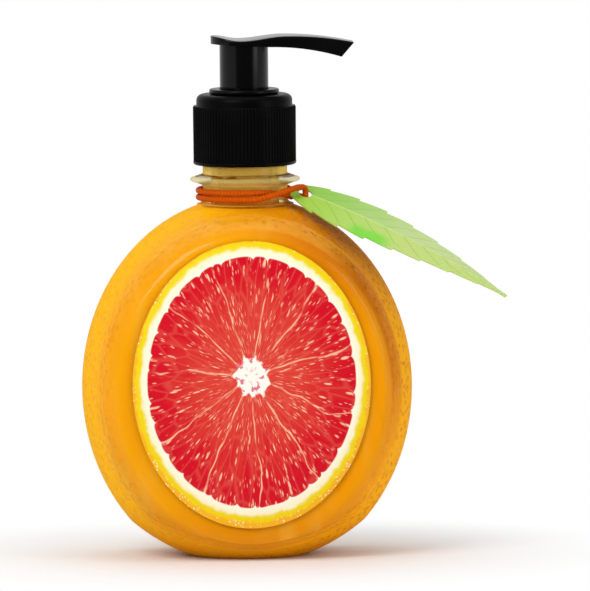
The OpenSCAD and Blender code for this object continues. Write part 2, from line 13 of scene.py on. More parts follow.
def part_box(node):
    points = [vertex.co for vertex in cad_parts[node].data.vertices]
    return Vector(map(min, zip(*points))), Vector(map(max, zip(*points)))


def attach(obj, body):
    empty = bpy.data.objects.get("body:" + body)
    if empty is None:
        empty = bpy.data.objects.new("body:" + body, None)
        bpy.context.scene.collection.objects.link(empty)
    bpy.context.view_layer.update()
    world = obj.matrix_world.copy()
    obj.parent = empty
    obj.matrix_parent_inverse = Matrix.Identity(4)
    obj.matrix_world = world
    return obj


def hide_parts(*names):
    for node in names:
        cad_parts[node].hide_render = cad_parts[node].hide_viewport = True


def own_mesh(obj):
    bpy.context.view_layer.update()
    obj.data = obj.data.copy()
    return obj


bl_info = {
    "name": "Citrus Soap Bottle",
    "version": (1, 0, 0),
    "blender": (4, 5, 0),
    "location": "View3D > Sidebar > Soap Bottle",
    "description": "Builds the bottle, its soap, label, pump, neck loop and leaf tag",
    "category": "Object",
}

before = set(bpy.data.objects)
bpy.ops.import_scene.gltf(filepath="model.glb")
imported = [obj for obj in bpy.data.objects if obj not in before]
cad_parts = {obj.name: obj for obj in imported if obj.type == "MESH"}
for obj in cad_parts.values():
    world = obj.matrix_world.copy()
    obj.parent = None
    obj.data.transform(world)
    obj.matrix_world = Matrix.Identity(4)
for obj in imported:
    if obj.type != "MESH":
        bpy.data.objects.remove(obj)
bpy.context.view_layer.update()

MM = 0.001
TINY = 1e-6

# Body, with the sizes of the part's source
BODY_HALF_W = 54.3
BODY_HALF_H = 62.5
BODY_HALF_D = 28.0
BODY_MID_Z = 55.6
PANEL_HALF_H = 50.0
PANEL_EDGE = 2.8
WALL = 1.0
BASE_T = 1.4
PUSH_UP = 1.8
PUSH_UP_R = 14.0
STAND_R = 21.7
BOWL_R = 73.8
WIDTH_SHARE = BODY_HALF_W / BODY_HALF_H
DEPTH_SHARE = BODY_HALF_D / sqrt(BODY_HALF_H**2 - (PANEL_HALF_H + PANEL_EDGE) ** 2)

# Gaps: between pressed pieces, between sliding pieces, and round the soap
PRESS_GAP = 0.05
SLIDE_GAP = 0.2
SOAP_GAP = 0.2

# Neck and pump levels, counted up from where the neck leaves the body
NECK_R = 13.9
NECK_FILLET = 2.0
FINISH_R = 12.9
BORE_R = 11.2
RING_R = 18.1
RING_EDGE_R = 0.6
ROOT_Z = BODY_MID_Z + sqrt(BODY_HALF_H**2 - (NECK_R / DEPTH_SHARE) ** 2)
RING_LOW_Z = ROOT_Z + 6.2
RING_HIGH_Z = RING_LOW_Z + 3.7
RING_MID_Z = (RING_LOW_Z + RING_HIGH_Z) / 2
CLOSURE_LOW_Z = RING_HIGH_Z + 3.0
LIP_Z = CLOSURE_LOW_Z + 18.2
GASKET_T = 1.2
FLANGE_LOW_Z = LIP_Z + GASKET_T
FLANGE_TOP_Z = FLANGE_LOW_Z + 1.2
CLOSURE_IN_Z = FLANGE_TOP_Z + SLIDE_GAP
CLOSURE_TOP_Z = CLOSURE_IN_Z + 2.4
COLLAR_LOW_Z = CLOSURE_TOP_Z + SLIDE_GAP
COLLAR_TOP_Z = COLLAR_LOW_Z + 1.5
HEAD_LOW_Z = COLLAR_TOP_Z + 13.1
SKIRT_LOW_Z = COLLAR_TOP_Z - 2.7
COLLAR_FLOOR_Z = SKIRT_LOW_Z - 12.2
FLOOR_T = 1.5
CHAMBER_FLOOR_Z = COLLAR_FLOOR_Z - FLOOR_T
PISTON_TOP_Z = CHAMBER_FLOOR_Z - SLIDE_GAP
PISTON_LOW_Z = PISTON_TOP_Z - 7.0
SEAT_TOP_Z = PISTON_LOW_Z - SLIDE_GAP
SEAT_LOW_Z = SEAT_TOP_Z - 1.6
LEDGE_Z = SEAT_LOW_Z - 24.1
FILL_Z = RING_HIGH_Z + 5.0

# Thread on the neck
THREAD_TURNS = 1.6
THREAD_PITCH = 4
THREAD_T = 1.3
THREAD_LOW_Z = CLOSURE_LOW_Z + 6
THREAD_LIFT = 0.1
THREAD_SINK = 0.5
THREAD_FADE = 8

# Pump radii, and the levels that follow from the inlet ball
SKIRT_R = 8.0
COLLAR_R = 9.0
COLLAR_FLANGE_R = 11.5
CHAMBER_R = 9.85
CYLINDER_R = 7.3
CYLINDER_BORE_R = 6.2
PISTON_R = 6.12
PISTON_GAP = 0.08
PISTON_SLEEVE_T = 0.9
PISTON_LIP_T = 0.45
PISTON_LIP_H = 0.8
PISTON_WAIST = 1.3
PISTON_FLARE = 2.2
PISTON_GROOVE = 1.4
STEM_R = 3.5
STEM_BORE_R = 2.2
STEM_TOP_Z = HEAD_LOW_Z - 1.0
PORT_R = 1.0
PORT_UP = 5.5
PLUG_R = 2.15
PLUG_H = 3.5
SEAT_R = 5.5
SEAT_FOOT_R = 4.0
SEAT_FOOT_H = 1.5
SEAT_FOOT_CUT = 0.5
SPRING_LEN = 24.0
SPRING_R = 5.3
SPRING_TURNS = 8
WIRE = 0.9
BALL_R = 2.75
CAGE_IN_R = 3.35
CAGE_R = 4.75
INLET_R = BALL_R * cos(pi / 4) - 0.05
INLET_TOP_Z = LEDGE_Z - BALL_R * (1 + sin(pi / 4)) - 2.4
SOCKET_TOP_Z = INLET_TOP_Z - FLOOR_T
SOCKET_LOW_Z = SOCKET_TOP_Z - 10.0
SOCKET_R = 4.1
TUBE_R = 2.75
TUBE_BORE_R = 2.0
TUBE_LOW_Z = BASE_T + PUSH_UP + 2.0
TUBE_SLANT = 0.466
TUBE_CUT_REACH = 4.8
TUBE_CUT_DROP = 0.5

# Closure
CLOSURE_R = 17.0
CLOSURE_IN_R = 14.3
CLOSURE_SHOULDER_R = 15.8
CLOSURE_FOOT_R = 0.85
CLOSURE_ROUND_R = 2.1
RIB_LOW_Z = CLOSURE_LOW_Z + 1.2
RIB_TOP_Z = CLOSURE_TOP_Z - 3.8
RIB_ROOT_R = CLOSURE_R - 0.4
RIB_HALF_W = 0.4
RIB_DEPTH = 0.34

# Head; the underside is higher and the dish lies further back than in the part's source
PAD_REACH = 10.9
PAD_HALF_W = 8.7
SPOUT_REACH = 36.0
TIP_HALF_W = 4.6
CREST_X = 13.4
HEAD_T = 4.4
HEAD_ROUND = 0.5
DISH = 1.4
DISH_X = -1.5
UNDER_LIFT = 0.9
PAD_RISE = 0.95
TIP_DROP = 2.4
TIP_CUT = 4.0
UNDER_DROP = 2.8
HEAD_WALL = 1.2
OUTLET_R = 1.0
OUTLET_LEN = 16
OUTLET_START = 10
OUTLET_DROP = 1.8
OUTLET_UP = 1.7
TIP_T = 0.25
STEM_SOCKET_T = 1.3
# Places along the spout at which the head has a section, closer together at both ends
HEAD_STOPS = [-PAD_REACH + off for off in (0.02, 0.12, 0.35, 0.8, 1.5)]
HEAD_STOPS += [-8.6, -7.4, -6, -4.5, -3, -1.5, 0, 1.5, 3, 4.5, 6, 7.5, 9, 10.5, 12, 13.4]
HEAD_STOPS += [15, 17, 19, 21, 23, 25, 27, 29, 30.5, 31.6, 31.9, 32.2, 33, 34, 35, 35.6, 35.95]

# Loop and leaf; the leaf's far half is folded up less than in the part's source
CORD_R = 1.0
KNIT_PITCH = 1.1
LOOP_R = 15.3
LOOP_LOW_Z = ROOT_Z + 2.2
LOOP_HIGH_Z = LOOP_LOW_Z + 2.2
LEAF_TURN = -18.5
LEAF_IN_R = 16.8
LEAF_HOLE_AT = 20.5
LEAF_HOLE_R = 2.2
LEAF_Z = LOOP_LOW_Z + 2.6
LEAF_LEN = 80.0
LEAF_HALF_W = 11.0
LEAF_T = 0.4
LEAF_TRIM = 0.12
SLOPE_IN = radians(19)
SLOPE_OUT = radians(32.5)
TILT_NEAR = radians(27)
TILT_FAR = radians(17)
TEETH = 8
TOOTH_SHARE = 0.12
# Outline of the leaf: least share of its width, where it starts, and how far its widest place is moved
LEAF_LEAST = 0.08
LEAF_START = 0.04
LEAF_LEAN = 0.63
LEAF_BEND_R = LEAF_LEN / (SLOPE_OUT - SLOPE_IN)
CORD_UNDER_Z = LEAF_Z - 3.7 * sin(SLOPE_IN) - 2.4

# Printed slice, in shares of the label's half height
SLICE_RISE = 0.018
HEART_RISE = 0.04
PITH_AT = 0.884
ZEST_FROM = (0.914, 0.95)
RIND_FROM = (0.964, 0.992)

# Stage; camera and lamps are in metres, the lamps by name, place, aim, size and power
CAMERA_AIM = (0.0161, 0, 0.0851)
CAMERA_FAR = 8.0
SENSOR = 36
FLOOR_HALF = 3000
# What reflections see in front of the bottle: where it starts and is full, by a direction's Y, and its level
FRONT_FROM = -0.7
FRONT_FULL = -0.8
FRONT_LEVEL = 0.12
LAMPS = (
    ("key", (-0.55, -0.75, 0.75), (0, 0, 0.08), (0.5, 0.7), 6.6),
    ("fill", (0.8, -0.6, 0.35), (0, 0, 0.09), (0.4, 0.8), 2.4),
    ("top", (0, 0.1, 1.0), (0, 0, 0.1), (0.7, 0.7), 1.6),
)


def tone(red, green, blue):
    """A colour written 0 to 255 as a screen shows it, in the linear values that sockets take."""
    steps = [c / 255 for c in (red, green, blue)]
    return tuple(c / 12.92 if c <= 0.04045 else ((c + 0.055) / 1.055) ** 2.4 for c in steps)


def colour(name, description, rgb):
    """A colour property with that default."""
    return bpy.props.FloatVectorProperty(
        name=name, description=description, subtype="COLOR", size=3, min=0, max=1, default=tone(*rgb)
    )


def length(name, description, metres):
    """A length property with that default."""
    return bpy.props.FloatProperty(name=name, description=description, default=metres, unit="LENGTH")


def angle(name, description, degrees):
    """An angle property with that default."""
    return bpy.props.FloatProperty(
        name=name, description=description, default=radians(degrees), subtype="ANGLE"
    )


def number(name, description, default, low, high):
    """A whole number property with that default and those limits."""
    return bpy.props.IntProperty(name=name, description=description, default=default, min=low, max=high)


class SoapSettings(bpy.types.PropertyGroup):
    # Lit and shaded copies of the soap's amber, for painted light on its two sides
    amber_painted_lit: colour("Painted Lit Amber", "Soap on the side towards the key light", (255, 186, 18))
    amber_painted_shaded: colour("Painted Shaded Amber", "Soap on the side away from it", (255, 178, 8))
    peel_size: length("Peel Size", "Distance between the peel's dimples", 0.0021)
    peel_depth: length("Peel Depth", "Depth of the peel's dimples", 0.0004)


class LabelSettings(bpy.types.PropertyGroup):
    segments: number("Segments", "Segments of the slice", 11, 6, 16)
    rind: colour("Rind", "Outer ring of the slice", (242, 176, 26))
    zest: colour("Zest", "Ring inside the rind", (236, 208, 2))
    pith: colour("Pith", "Pale ring, membranes and core", (246, 238, 204))
    pulp_rim: colour("Pulp Rim", "Pulp near the pith", (206, 0, 30))
    pulp_heart: colour("Pulp Heart", "Pulp near the core", (214, 58, 46))


class PumpSettings(bpy.types.PropertyGroup):
    rib_count: number("Ribs", "Ribs of the closure", 90, 30, 140)
    black: colour("Black", "Moulded plastic of closure, collar and head", (4, 4, 4))


class LeafSettings(bpy.types.PropertyGroup):
    green: colour("Green", "Leaf near its stem", (132, 196, 4))
    pale: colour("Pale Green", "Leaf near its tip", (188, 208, 134))
    elastic: colour("Elastic", "Cord round the neck", (214, 86, 0))


class StageSettings(bpy.types.PropertyGroup):
    azimuth: angle("Azimuth", "Camera's turn to the right", -3.3)
    elevation: angle("Elevation", "Camera's height angle", 4.7)
    roll: angle("Roll", "Camera's lean to the right", 0.55)
    view_width: length("View Width", "Width of the frame at the bottle", 0.1945)


# Meshes


def linked(name, data):
    """A new object in the scene that holds a mesh, a lamp or a camera."""
    obj = bpy.data.objects.new(name, data)
    bpy.context.scene.collection.objects.link(obj)
    return obj


def in_metres(points):
    """The same points in metres."""
    return [tuple(c * MM for c in p) for p in points]


def mesh_object(name, points, faces):
    """An object from points in millimetres, with doubles merged and faces turned outwards."""
    mesh = bpy.data.meshes.new(name)
    mesh.from_pydata(in_metres(points), [], faces)
    made = bmesh.new()
    made.from_mesh(mesh)
    bmesh.ops.remove_doubles(made, verts=made.verts, dist=1e-7)
    bmesh.ops.recalc_face_normals(made, faces=made.faces)
    made.to_mesh(mesh)
    made.free()
    return linked(name, mesh)


def soften(obj, degrees=30):
    """Smooth shading that keeps edges sharper than that angle."""
    obj.data.shade_smooth()
    obj.data.set_sharp_from_angle(angle=radians(degrees))


def circle(steps):
    """Cosine and sine of each step round a full turn."""
    turns = [2 * pi * k / steps for k in range(steps)]
    return [(cos(t), sin(t)) for t in turns]


def arc(x, z, r, start, end, steps):
    """Points on an arc in a profile, angles in degrees."""
    turns = [radians(start + (end - start) * i / steps) for i in range(steps + 1)]
    return [(x + r * cos(t), z + r * sin(t)) for t in turns]


def bend(a, pull, b, steps):
    """Points on the curve from a to b that leans towards pull."""
    shares = [k / steps for k in range(steps + 1)]
    return [
        tuple(p * (1 - t) ** 2 + q * 2 * t * (1 - t) + r * t**2 for p, q, r in zip(a, pull, b))
        for t in shares
    ]


def eased(profile, r, steps=4, closed=True):
    """The profile with each corner rounded by r, or by less on a short side; corners on the axis stay.

    An open profile loses its two ends, which only give the direction of its first and last side.
    """
    out = []
    n = len(profile)
    for i, p in enumerate(profile):
        if not closed and i in (0, n - 1):
            continue
        here = Vector(p)
        to_before = Vector(profile[i - 1]) - here
        to_after = Vector(profile[(i + 1) % n]) - here
        reach = min(r, 0.45 * to_before.length, 0.45 * to_after.length)
        if p[0] < TINY or reach < 1e-3:
            out.append(tuple(p))
            continue
        a = here + to_before.normalized() * reach
        b = here + to_after.normalized() * reach
        out += bend(a, here, b, steps)
    return out


def loft(name, rings, closed=False, capped=False):
    """A skin over rings with equally many points; a ring of one point is a pole."""
    steps = max(len(ring) for ring in rings)
    points, rows, faces = [], [], []
    for ring in rings:
        start = len(points)
        rows.append([start] * steps if len(ring) == 1 else list(range(start, start + steps)))
        points += ring
    for row, ahead in zip(rows, rows[1:] + rows[:1] if closed else rows[1:]):
        for k in range(steps):
            after = (k + 1) % steps
            corners = list(dict.fromkeys([row[k], row[after], ahead[after], ahead[k]]))
            if len(corners) > 2:
                faces.append(corners)
    if capped:
        faces += [rows[0], rows[-1]]
    return mesh_object(name, points, faces)


def lathe(name, profile, steps=96):
    """Solid of revolution about Z from a closed profile of (radius, height)."""
    turns = circle(steps)
    rings = [[(r * c, r * s, z) for c, s in turns] if r >= TINY else [(0, 0, z)] for r, z in profile]
    return loft(name, rings, closed=True)


def rod(name, r, low, high, steps):
    """A plain round rod about Z that cuts a hole."""
    return lathe(name, [(0, low), (r, low), (r, high), (0, high)], steps)


def bodied(obj):
    """The object with its modifiers applied and removed, and its mesh free of slivers."""
    bpy.context.view_layer.update()
    done = bpy.data.meshes.new_from_object(obj.evaluated_get(bpy.context.evaluated_depsgraph_get()))
    done.name = obj.name
    made = bmesh.new()
    made.from_mesh(done)
    bmesh.ops.remove_doubles(made, verts=made.verts, dist=1e-6)
    bmesh.ops.dissolve_degenerate(made, edges=made.edges, dist=1e-6)
    bmesh.ops.delete(made, geom=[e for e in made.edges if e.is_wire], context="EDGES")
    made.to_mesh(done)
    made.free()
    obj.modifiers.clear()
    obj.data = done
    return obj


def joined(obj, other, operation):
    """Boolean of two solids; the other one is removed."""
    step = obj.modifiers.new("join", "BOOLEAN")
    step.operation = operation
    step.solver = "EXACT"
    step.object = other
    bodied(obj)
    bpy.data.objects.remove(other)


def dress(obj, material, body, slot, *nodes):
    """Gives the piece its material and its body, and hides the nodes that it stands for; the slot is not
    used.
    """
    obj.data.materials.clear()
    obj.data.materials.append(material)
    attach(obj, body)
    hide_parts(*nodes)


# Geometry node trees


def tree_with(name, sockets):
    """An empty tree with a geometry output and those inputs, given as (name, type, default)."""
    tree = bpy.data.node_groups.new(name, "GeometryNodeTree")
    tree.interface.new_socket("Geometry", in_out="OUTPUT", socket_type="NodeSocketGeometry")
    for label, kind, default in sockets:
        made = tree.interface.new_socket(label, in_out="INPUT", socket_type="NodeSocket" + kind)
        if default is not None:
            made.default_value = default
    return tree, tree.nodes.new("NodeGroupInput"), tree.nodes.new("NodeGroupOutput")


def added(tree, kind, **settings):
    """A new node of the tree with those settings."""
    node = tree.nodes.new(kind)
    for name, value in settings.items():
        setattr(node, name, value)
    return node


def chained(tree, *nodes):
    """Links each node's first output to the next one's first input."""
    for node, after in zip(nodes, nodes[1:]):
        tree.links.new(node.outputs[0], after.inputs[0])


def set_inputs(modifier, **values):
    """Sets a tree's inputs on the modifier by their identifiers."""
    for item in modifier.node_group.interface.items_tree:
        key = item.name.replace(" ", "_").lower()
        if item.in_out == "INPUT" and key in values:
            modifier[item.identifier] = values[key]


def tube_tree():
    """A round tube along an edge path, with its length along the path kept in the attribute along."""
    tree, given, out = tree_with(
        "Tube Along Path",
        [
            ("Path", "Geometry", None),
            ("Thickness", "Float", 0.002),
            ("Sides", "Int", 16),
            ("Steps", "Int", 4),
            ("Finish", "Material", None),
        ],
    )
    curve = added(tree, "GeometryNodeMeshToCurve")
    kind = added(tree, "GeometryNodeCurveSplineType", spline_type="CATMULL_ROM")
    fine = added(tree, "GeometryNodeSetSplineResolution")
    even = added(tree, "GeometryNodeResampleCurve", mode="EVALUATED")
    place = added(tree, "GeometryNodeSplineParameter")
    keep = added(tree, "GeometryNodeStoreNamedAttribute", data_type="FLOAT", domain="POINT")
    keep.inputs["Name"].default_value = "along"
    half = added(tree, "ShaderNodeMath", operation="MULTIPLY")
    half.inputs[1].default_value = 0.5
    ring = added(tree, "GeometryNodeCurvePrimitiveCircle")
    skin = added(tree, "GeometryNodeCurveToMesh")
    skin.inputs["Fill Caps"].default_value = True
    smooth = added(tree, "GeometryNodeSetShadeSmooth")
    real = added(tree, "GeometryNodeRealizeInstances")
    paint = added(tree, "GeometryNodeSetMaterial")
    chained(tree, given, curve, kind, fine, even, keep, skin, smooth, real, paint, out)
    link = tree.links.new
    link(given.outputs["Steps"], fine.inputs["Resolution"])
    link(place.outputs["Length"], keep.inputs["Value"])
    link(given.outputs["Thickness"], half.inputs[0])
    link(half.outputs[0], ring.inputs["Radius"])
    link(given.outputs["Sides"], ring.inputs["Resolution"])
    link(ring.outputs["Curve"], skin.inputs["Profile Curve"])
    link(given.outputs["Finish"], paint.inputs["Material"])
    return tree


def tube(name, points, thickness, closed, material, sides=16, steps=4):
    """A tube along points, made by the tube tree."""
    mesh = bpy.data.meshes.new(name)
    n = len(points)
    edges = [(i, (i + 1) % n) for i in range(n if closed else n - 1)]
    mesh.from_pydata(in_metres(points), edges, [])
    obj = linked(name, mesh)
    modifier = obj.modifiers.new("tube", "NODES")
    modifier.node_group = bpy.data.node_groups.get("Tube Along Path") or tube_tree()
    set_inputs(modifier, thickness=thickness * MM, sides=sides, steps=steps, finish=material)
    return bodied(obj)


def rib_tree():
    """Ribs set round the Z axis on a body."""
    tree, given, out = tree_with(
        "Ribs Round Axis",
        [
            ("Body", "Geometry", None),
            ("Rib", "Object", None),
            ("Count", "Int", 90),
            ("Radius", "Float", 0.0166),
            ("Finish", "Material", None),
        ],
    )
    ring = added(tree, "GeometryNodeMeshCircle")
    rib = added(tree, "GeometryNodeObjectInfo")
    place = added(tree, "GeometryNodeInputPosition")
    turn = added(tree, "FunctionNodeAlignRotationToVector", axis="X", pivot_axis="Z")
    put = added(tree, "GeometryNodeInstanceOnPoints")
    both = added(tree, "GeometryNodeJoinGeometry")
    real = added(tree, "GeometryNodeRealizeInstances")
    paint = added(tree, "GeometryNodeSetMaterial")
    chained(tree, ring, put, both, real, paint, out)
    link = tree.links.new
    link(given.outputs["Count"], ring.inputs["Vertices"])
    link(given.outputs["Radius"], ring.inputs["Radius"])
    link(given.outputs["Rib"], rib.inputs["Object"])
    link(place.outputs["Position"], turn.inputs["Vector"])
    link(rib.outputs["Geometry"], put.inputs["Instance"])
    link(turn.outputs["Rotation"], put.inputs["Rotation"])
    link(given.outputs["Body"], both.inputs["Geometry"])
    link(given.outputs["Finish"], paint.inputs["Material"])
    return tree


# Materials


class Nodes:
    """A shader node tree, with short calls for the nodes that the finishes and the world use."""

    def __init__(self, tree):
        self.nodes = tree.nodes
        self.links = tree.links

    def put(self, socket, value):
        """Links a socket or sets a plain value; a colour has three parts."""
        if isinstance(value, bpy.types.NodeSocket):
            self.links.new(value, socket)
        elif socket.type == "RGBA":
            socket.default_value = (*value, 1)
        else:
            socket.default_value = value

    def node(self, kind, inputs=None, **settings):
        """A new node with its settings, and its inputs linked or set by name or number."""
        made = self.nodes.new("ShaderNode" + kind)
        for name, value in settings.items():
            setattr(made, name, value)
        for key, value in (inputs or {}).items():
            self.put(made.inputs[key], value)
        return made

    def math(self, operation, a, b=0.0, c=0.0):
        """One step of arithmetic."""
        return self.node("Math", {0: a, 1: b, 2: c}, operation=operation).outputs[0]

    def times(self, a, b):
        """a times b."""
        return self.math("MULTIPLY", a, b)

    def plus(self, a, b):
        """a and b added."""
        return self.math("ADD", a, b)

    def less(self, a, b):
        """a less b."""
        return self.math("SUBTRACT", a, b)

    def rest(self, a):
        """What a leaves of 1."""
        return self.math("SUBTRACT", 1.0, a)

    def scaled(self, a, gain, base):
        """a times gain, on top of base."""
        return self.math("MULTIPLY_ADD", a, gain, base)

    def size(self, a):
        """a without its sign."""
        return self.math("ABSOLUTE", a)

    def apart(self, a, b):
        """How far a is from b."""
        return self.size(self.less(a, b))

    def reach(self, a, b):
        """Distance of the point (a, b) from the middle."""
        return self.math("SQRT", self.plus(self.times(a, a), self.times(b, b)))

    def step(self, value, low, high):
        """0 below low, 1 above high, smooth between; the other way round where low is above high."""
        inputs = {"Value": value, "From Min": low, "From Max": high}
        return self.node("MapRange", inputs, interpolation_type="SMOOTHSTEP").outputs["Result"]

    def rise(self, value, low, high):
        """A step of a length, with its limits in millimetres."""
        return self.step(value, low * MM, high * MM)

    def ramp(self, value, low, high, start, end):
        """A straight ramp from start at low to end at high."""
        inputs = {"Value": value, "From Min": low, "From Max": high, "To Min": start, "To Max": end}
        return self.node("MapRange", inputs).outputs["Result"]

    def mix(self, share, a, b):
        """Colour a where share is 0, b where it is 1."""
        return self.node("Mix", {"Factor": share, 6: a, 7: b}, data_type="RGBA").outputs[2]

    def paint(self, under, where, strength, rgb):
        """A screen colour laid over another with that strength."""
        return self.mix(self.times(where, strength), under, tone(*rgb))

    def over(self, share, under, upper):
        """One shader over another."""
        return self.node("MixShader", {"Fac": share, 1: under, 2: upper}).outputs[0]

    def place(self):
        """Object coordinates and their three parts."""
        where = self.node("TexCoord").outputs["Object"]
        return (where, *self.node("SeparateXYZ", {0: where}).outputs)

    def point(self, x, y, z=0.0):
        """A place from its three parts."""
        return self.node("CombineXYZ", {0: x, 1: y, 2: z}).outputs[0]

    def noise(self, where, scale, detail=2.0):
        """Soft noise from 0 to 1."""
        return self.node("TexNoise", {"Vector": where, "Scale": scale, "Detail": detail}).outputs["Fac"]

    def cells(self, where, scale, feature="F1"):
        """Distance within a field of random cells."""
        return self.node("TexVoronoi", {"Vector": where, "Scale": scale}, feature=feature).outputs["Distance"]

    def bump(self, height, distance, strength):
        """A normal with that relief."""
        inputs = {"Height": height, "Distance": distance, "Strength": strength}
        return self.node("Bump", inputs).outputs["Normal"]


class Finish(Nodes):
    """A material's node tree, with its output and its Principled shader."""

    def __init__(self, name):
        self.material = bpy.data.materials.new(name)
        self.material.use_nodes = True
        super().__init__(self.material.node_tree)
        self.out = self.nodes["Material Output"]
        self.shader = self.nodes["Principled BSDF"]

    def set(self, **values):
        """Sets inputs of the Principled shader, named as they are shown."""
        for name, value in values.items():
            self.put(self.shader.inputs[name.replace("_", " ").title().replace("Ior", "IOR")], value)


def moulded_black(name, rough, shine):
    """Black moulded plastic: a faint grain in gloss and surface."""
    f = Finish(name)
    where = f.place()[0]
    cloud = f.noise(where, 60)
    f.set(
        base_color=f.mix(f.step(cloud, 0.35, 0.7), bpy.context.scene.soap_pump.black, tone(7, 7, 7)),
        roughness=f.scaled(cloud, 0.14, rough - 0.07),
        specular_ior_level=shine,
        normal=f.bump(f.noise(where, 900, 3), 0.00002, 0.35),
    )
    return f.material


def natural_plastic(name, rgb, rough, clear=0.0):
    """Pale natural plastic of the pump's inner pieces, with a cloudy tone."""
    f = Finish(name)
    where = f.place()[0]
    cloud = f.noise(where, 180, 3)
    f.set(
        base_color=f.mix(cloud, tone(*[c - 14 for c in rgb]), tone(*rgb)),
        roughness=f.scaled(cloud, 0.2, rough - 0.1),
        normal=f.bump(f.noise(where, 1400), 0.00002, 0.3),
        transmission_weight=clear,
    )
    return f.material


def drawn_steel():
    """Bright drawn wire and ball, with fine scratches."""
    f = Finish("drawn_steel")
    x, y, z = f.place()[1:]
    drawn = f.noise(f.point(x, y, f.times(z, 12.0)), 700, 3)
    f.set(
        base_color=f.mix(drawn, tone(176, 178, 182), tone(214, 215, 218)),
        metallic=1.0,
        roughness=f.scaled(drawn, 0.2, 0.18),
        normal=f.bump(drawn, 0.00001, 0.4),
    )
    return f.material


def peel_height(f, where, y, z):
    """Dimples of the peel, none on the panels, the neck and the base."""
    soap = bpy.context.scene.soap_soap
    deep = f.times(f.rest(f.rise(f.size(y), 22.5, 26.8)), f.rest(f.rise(z, 110, 114)))
    deep = f.times(deep, f.rise(z, 2, 6))
    dimple = f.step(f.cells(where, 1 / soap.peel_size), 0.08, 0.5)
    swell = f.noise(where, 0.35 / soap.peel_size, 1)
    return f.times(f.scaled(swell, 1.2, dimple), deep)


def amber_tone_and_painted_light(f, where, x, y, z):
    """The soap's colour with painted light: painted lit on the key light's side, in painted shade on the
    other side, at the upper right and at the base.
    """
    soap = bpy.context.scene.soap_soap
    drift = f.scaled(f.noise(where, 22), 0.03, -0.015)
    # Painted light: lit amber on the key light's side, shaded amber on the other side
    shade = f.mix(f.rise(f.plus(x, drift), -20, 55), soap.amber_painted_lit, soap.amber_painted_shaded)
    # Painted shade at the upper right and at the base
    high = f.times(f.rise(z, 68, 112), f.rise(x, -12, 30))
    shade = f.paint(shade, high, 0.8, (212, 108, 0))
    shade = f.paint(shade, f.rest(f.rise(z, 2, 22)), 0.5, (224, 130, 6))
    # A painted highlight arch over the panel and a painted shade strip beside it, both just outside the
    # panel's oval edge
    wide = f.math("DIVIDE", x, PANEL_HALF_H * WIDTH_SHARE * MM)
    tall = f.math("DIVIDE", f.less(z, BODY_MID_Z * MM), PANEL_HALF_H * MM)
    oval = f.reach(wide, tall)
    painted_highlight_arch = f.times(f.step(f.apart(oval, 1.115), 0.05, 0.035), f.rise(z, 88, 104))
    shade = f.paint(shade, painted_highlight_arch, 0.55, (250, 190, 62))
    painted_shade_strip = f.step(f.apart(oval, 1.105), 0.055, 0.03)
    painted_shade_strip = f.times(painted_shade_strip, f.times(f.rise(x, 24, 36), f.rise(z, 30, 70)))
    shade = f.paint(shade, painted_shade_strip, 0.5, (202, 104, 0))
    # Painted shade in the dimples, stronger on the side away from the key light
    dimple_painted_shade = f.rest(f.step(f.cells(where, 1 / soap.peel_size), 0.1, 0.45))
    dimple_painted_shade = f.times(dimple_painted_shade, f.rest(f.rise(f.size(y), 19, 25.5)))
    dimple_painted_shade = f.times(dimple_painted_shade, f.scaled(f.rise(x, -30, 35), 0.45, 0.12))
    return f.mix(dimple_painted_shade, shade, tone(190, 80, 0))


def clear_shell():
    """Clear plastic: what is behind shows through, the rim has the soap's colour, the surface shines."""
    f = Finish("clear_shell")
    f.nodes.remove(f.shader)
    where, x, y, z = f.place()
    normal = f.bump(peel_height(f, where, y, z), bpy.context.scene.soap_soap.peel_depth, 0.8)
    neck = f.rise(z, ROOT_Z - 1, ROOT_Z + 3)
    ring = f.times(neck, f.rise(f.reach(x, y), NECK_R + 0.6, NECK_R + 2.6))
    # A painted shade line, brown, where the ring's upper face meets the neck
    line = f.rise(f.apart(z, (RING_MID_Z + 1.4) * MM), 0.7, 0.3)
    line = f.times(line, f.scaled(f.step(f.noise(where, 150), 0.35, 0.6), 0.4, 0.6))
    tint = f.mix(neck, amber_tone_and_painted_light(f, where, x, y, z), tone(250, 214, 104))
    tint = f.mix(ring, tint, tone(228, 212, 132))
    tint = f.mix(line, tint, tone(106, 50, 0))
    fog = f.node("BsdfDiffuse", {"Color": tint, "Normal": normal})
    see = f.node("BsdfTransparent", {"Color": (0.98, 0.955, 0.85)})
    # The amber fog thickens where the wall is seen at a slant, sooner on the neck
    slant = f.node("LayerWeight", {"Blend": 0.5}).outputs["Facing"]
    near = f.scaled(neck, -0.2, 0.4)
    rim = f.step(slant, near, f.plus(near, 0.32))
    foggy = f.times(rim, f.scaled(ring, -0.6, 0.97))
    foggy = f.math("MAXIMUM", foggy, f.times(neck, 0.28))
    foggy = f.math("MAXIMUM", foggy, f.times(line, 0.8))
    body = f.over(foggy, see.outputs[0], fog.outputs[0])
    gloss = f.node("BsdfGlossy", {"Roughness": f.scaled(f.noise(where, 120), 0.05, 0.05), "Normal": normal})
    edge = f.node("Fresnel", {"IOR": 1.48, "Normal": normal}).outputs[0]
    front = f.rest(f.node("NewGeometry").outputs["Backfacing"])
    shine = f.times(f.times(edge, f.scaled(rim, -0.26, 0.34)), front)
    f.put(f.out.inputs["Surface"], f.over(shine, body, gloss.outputs[0]))
    return f.material


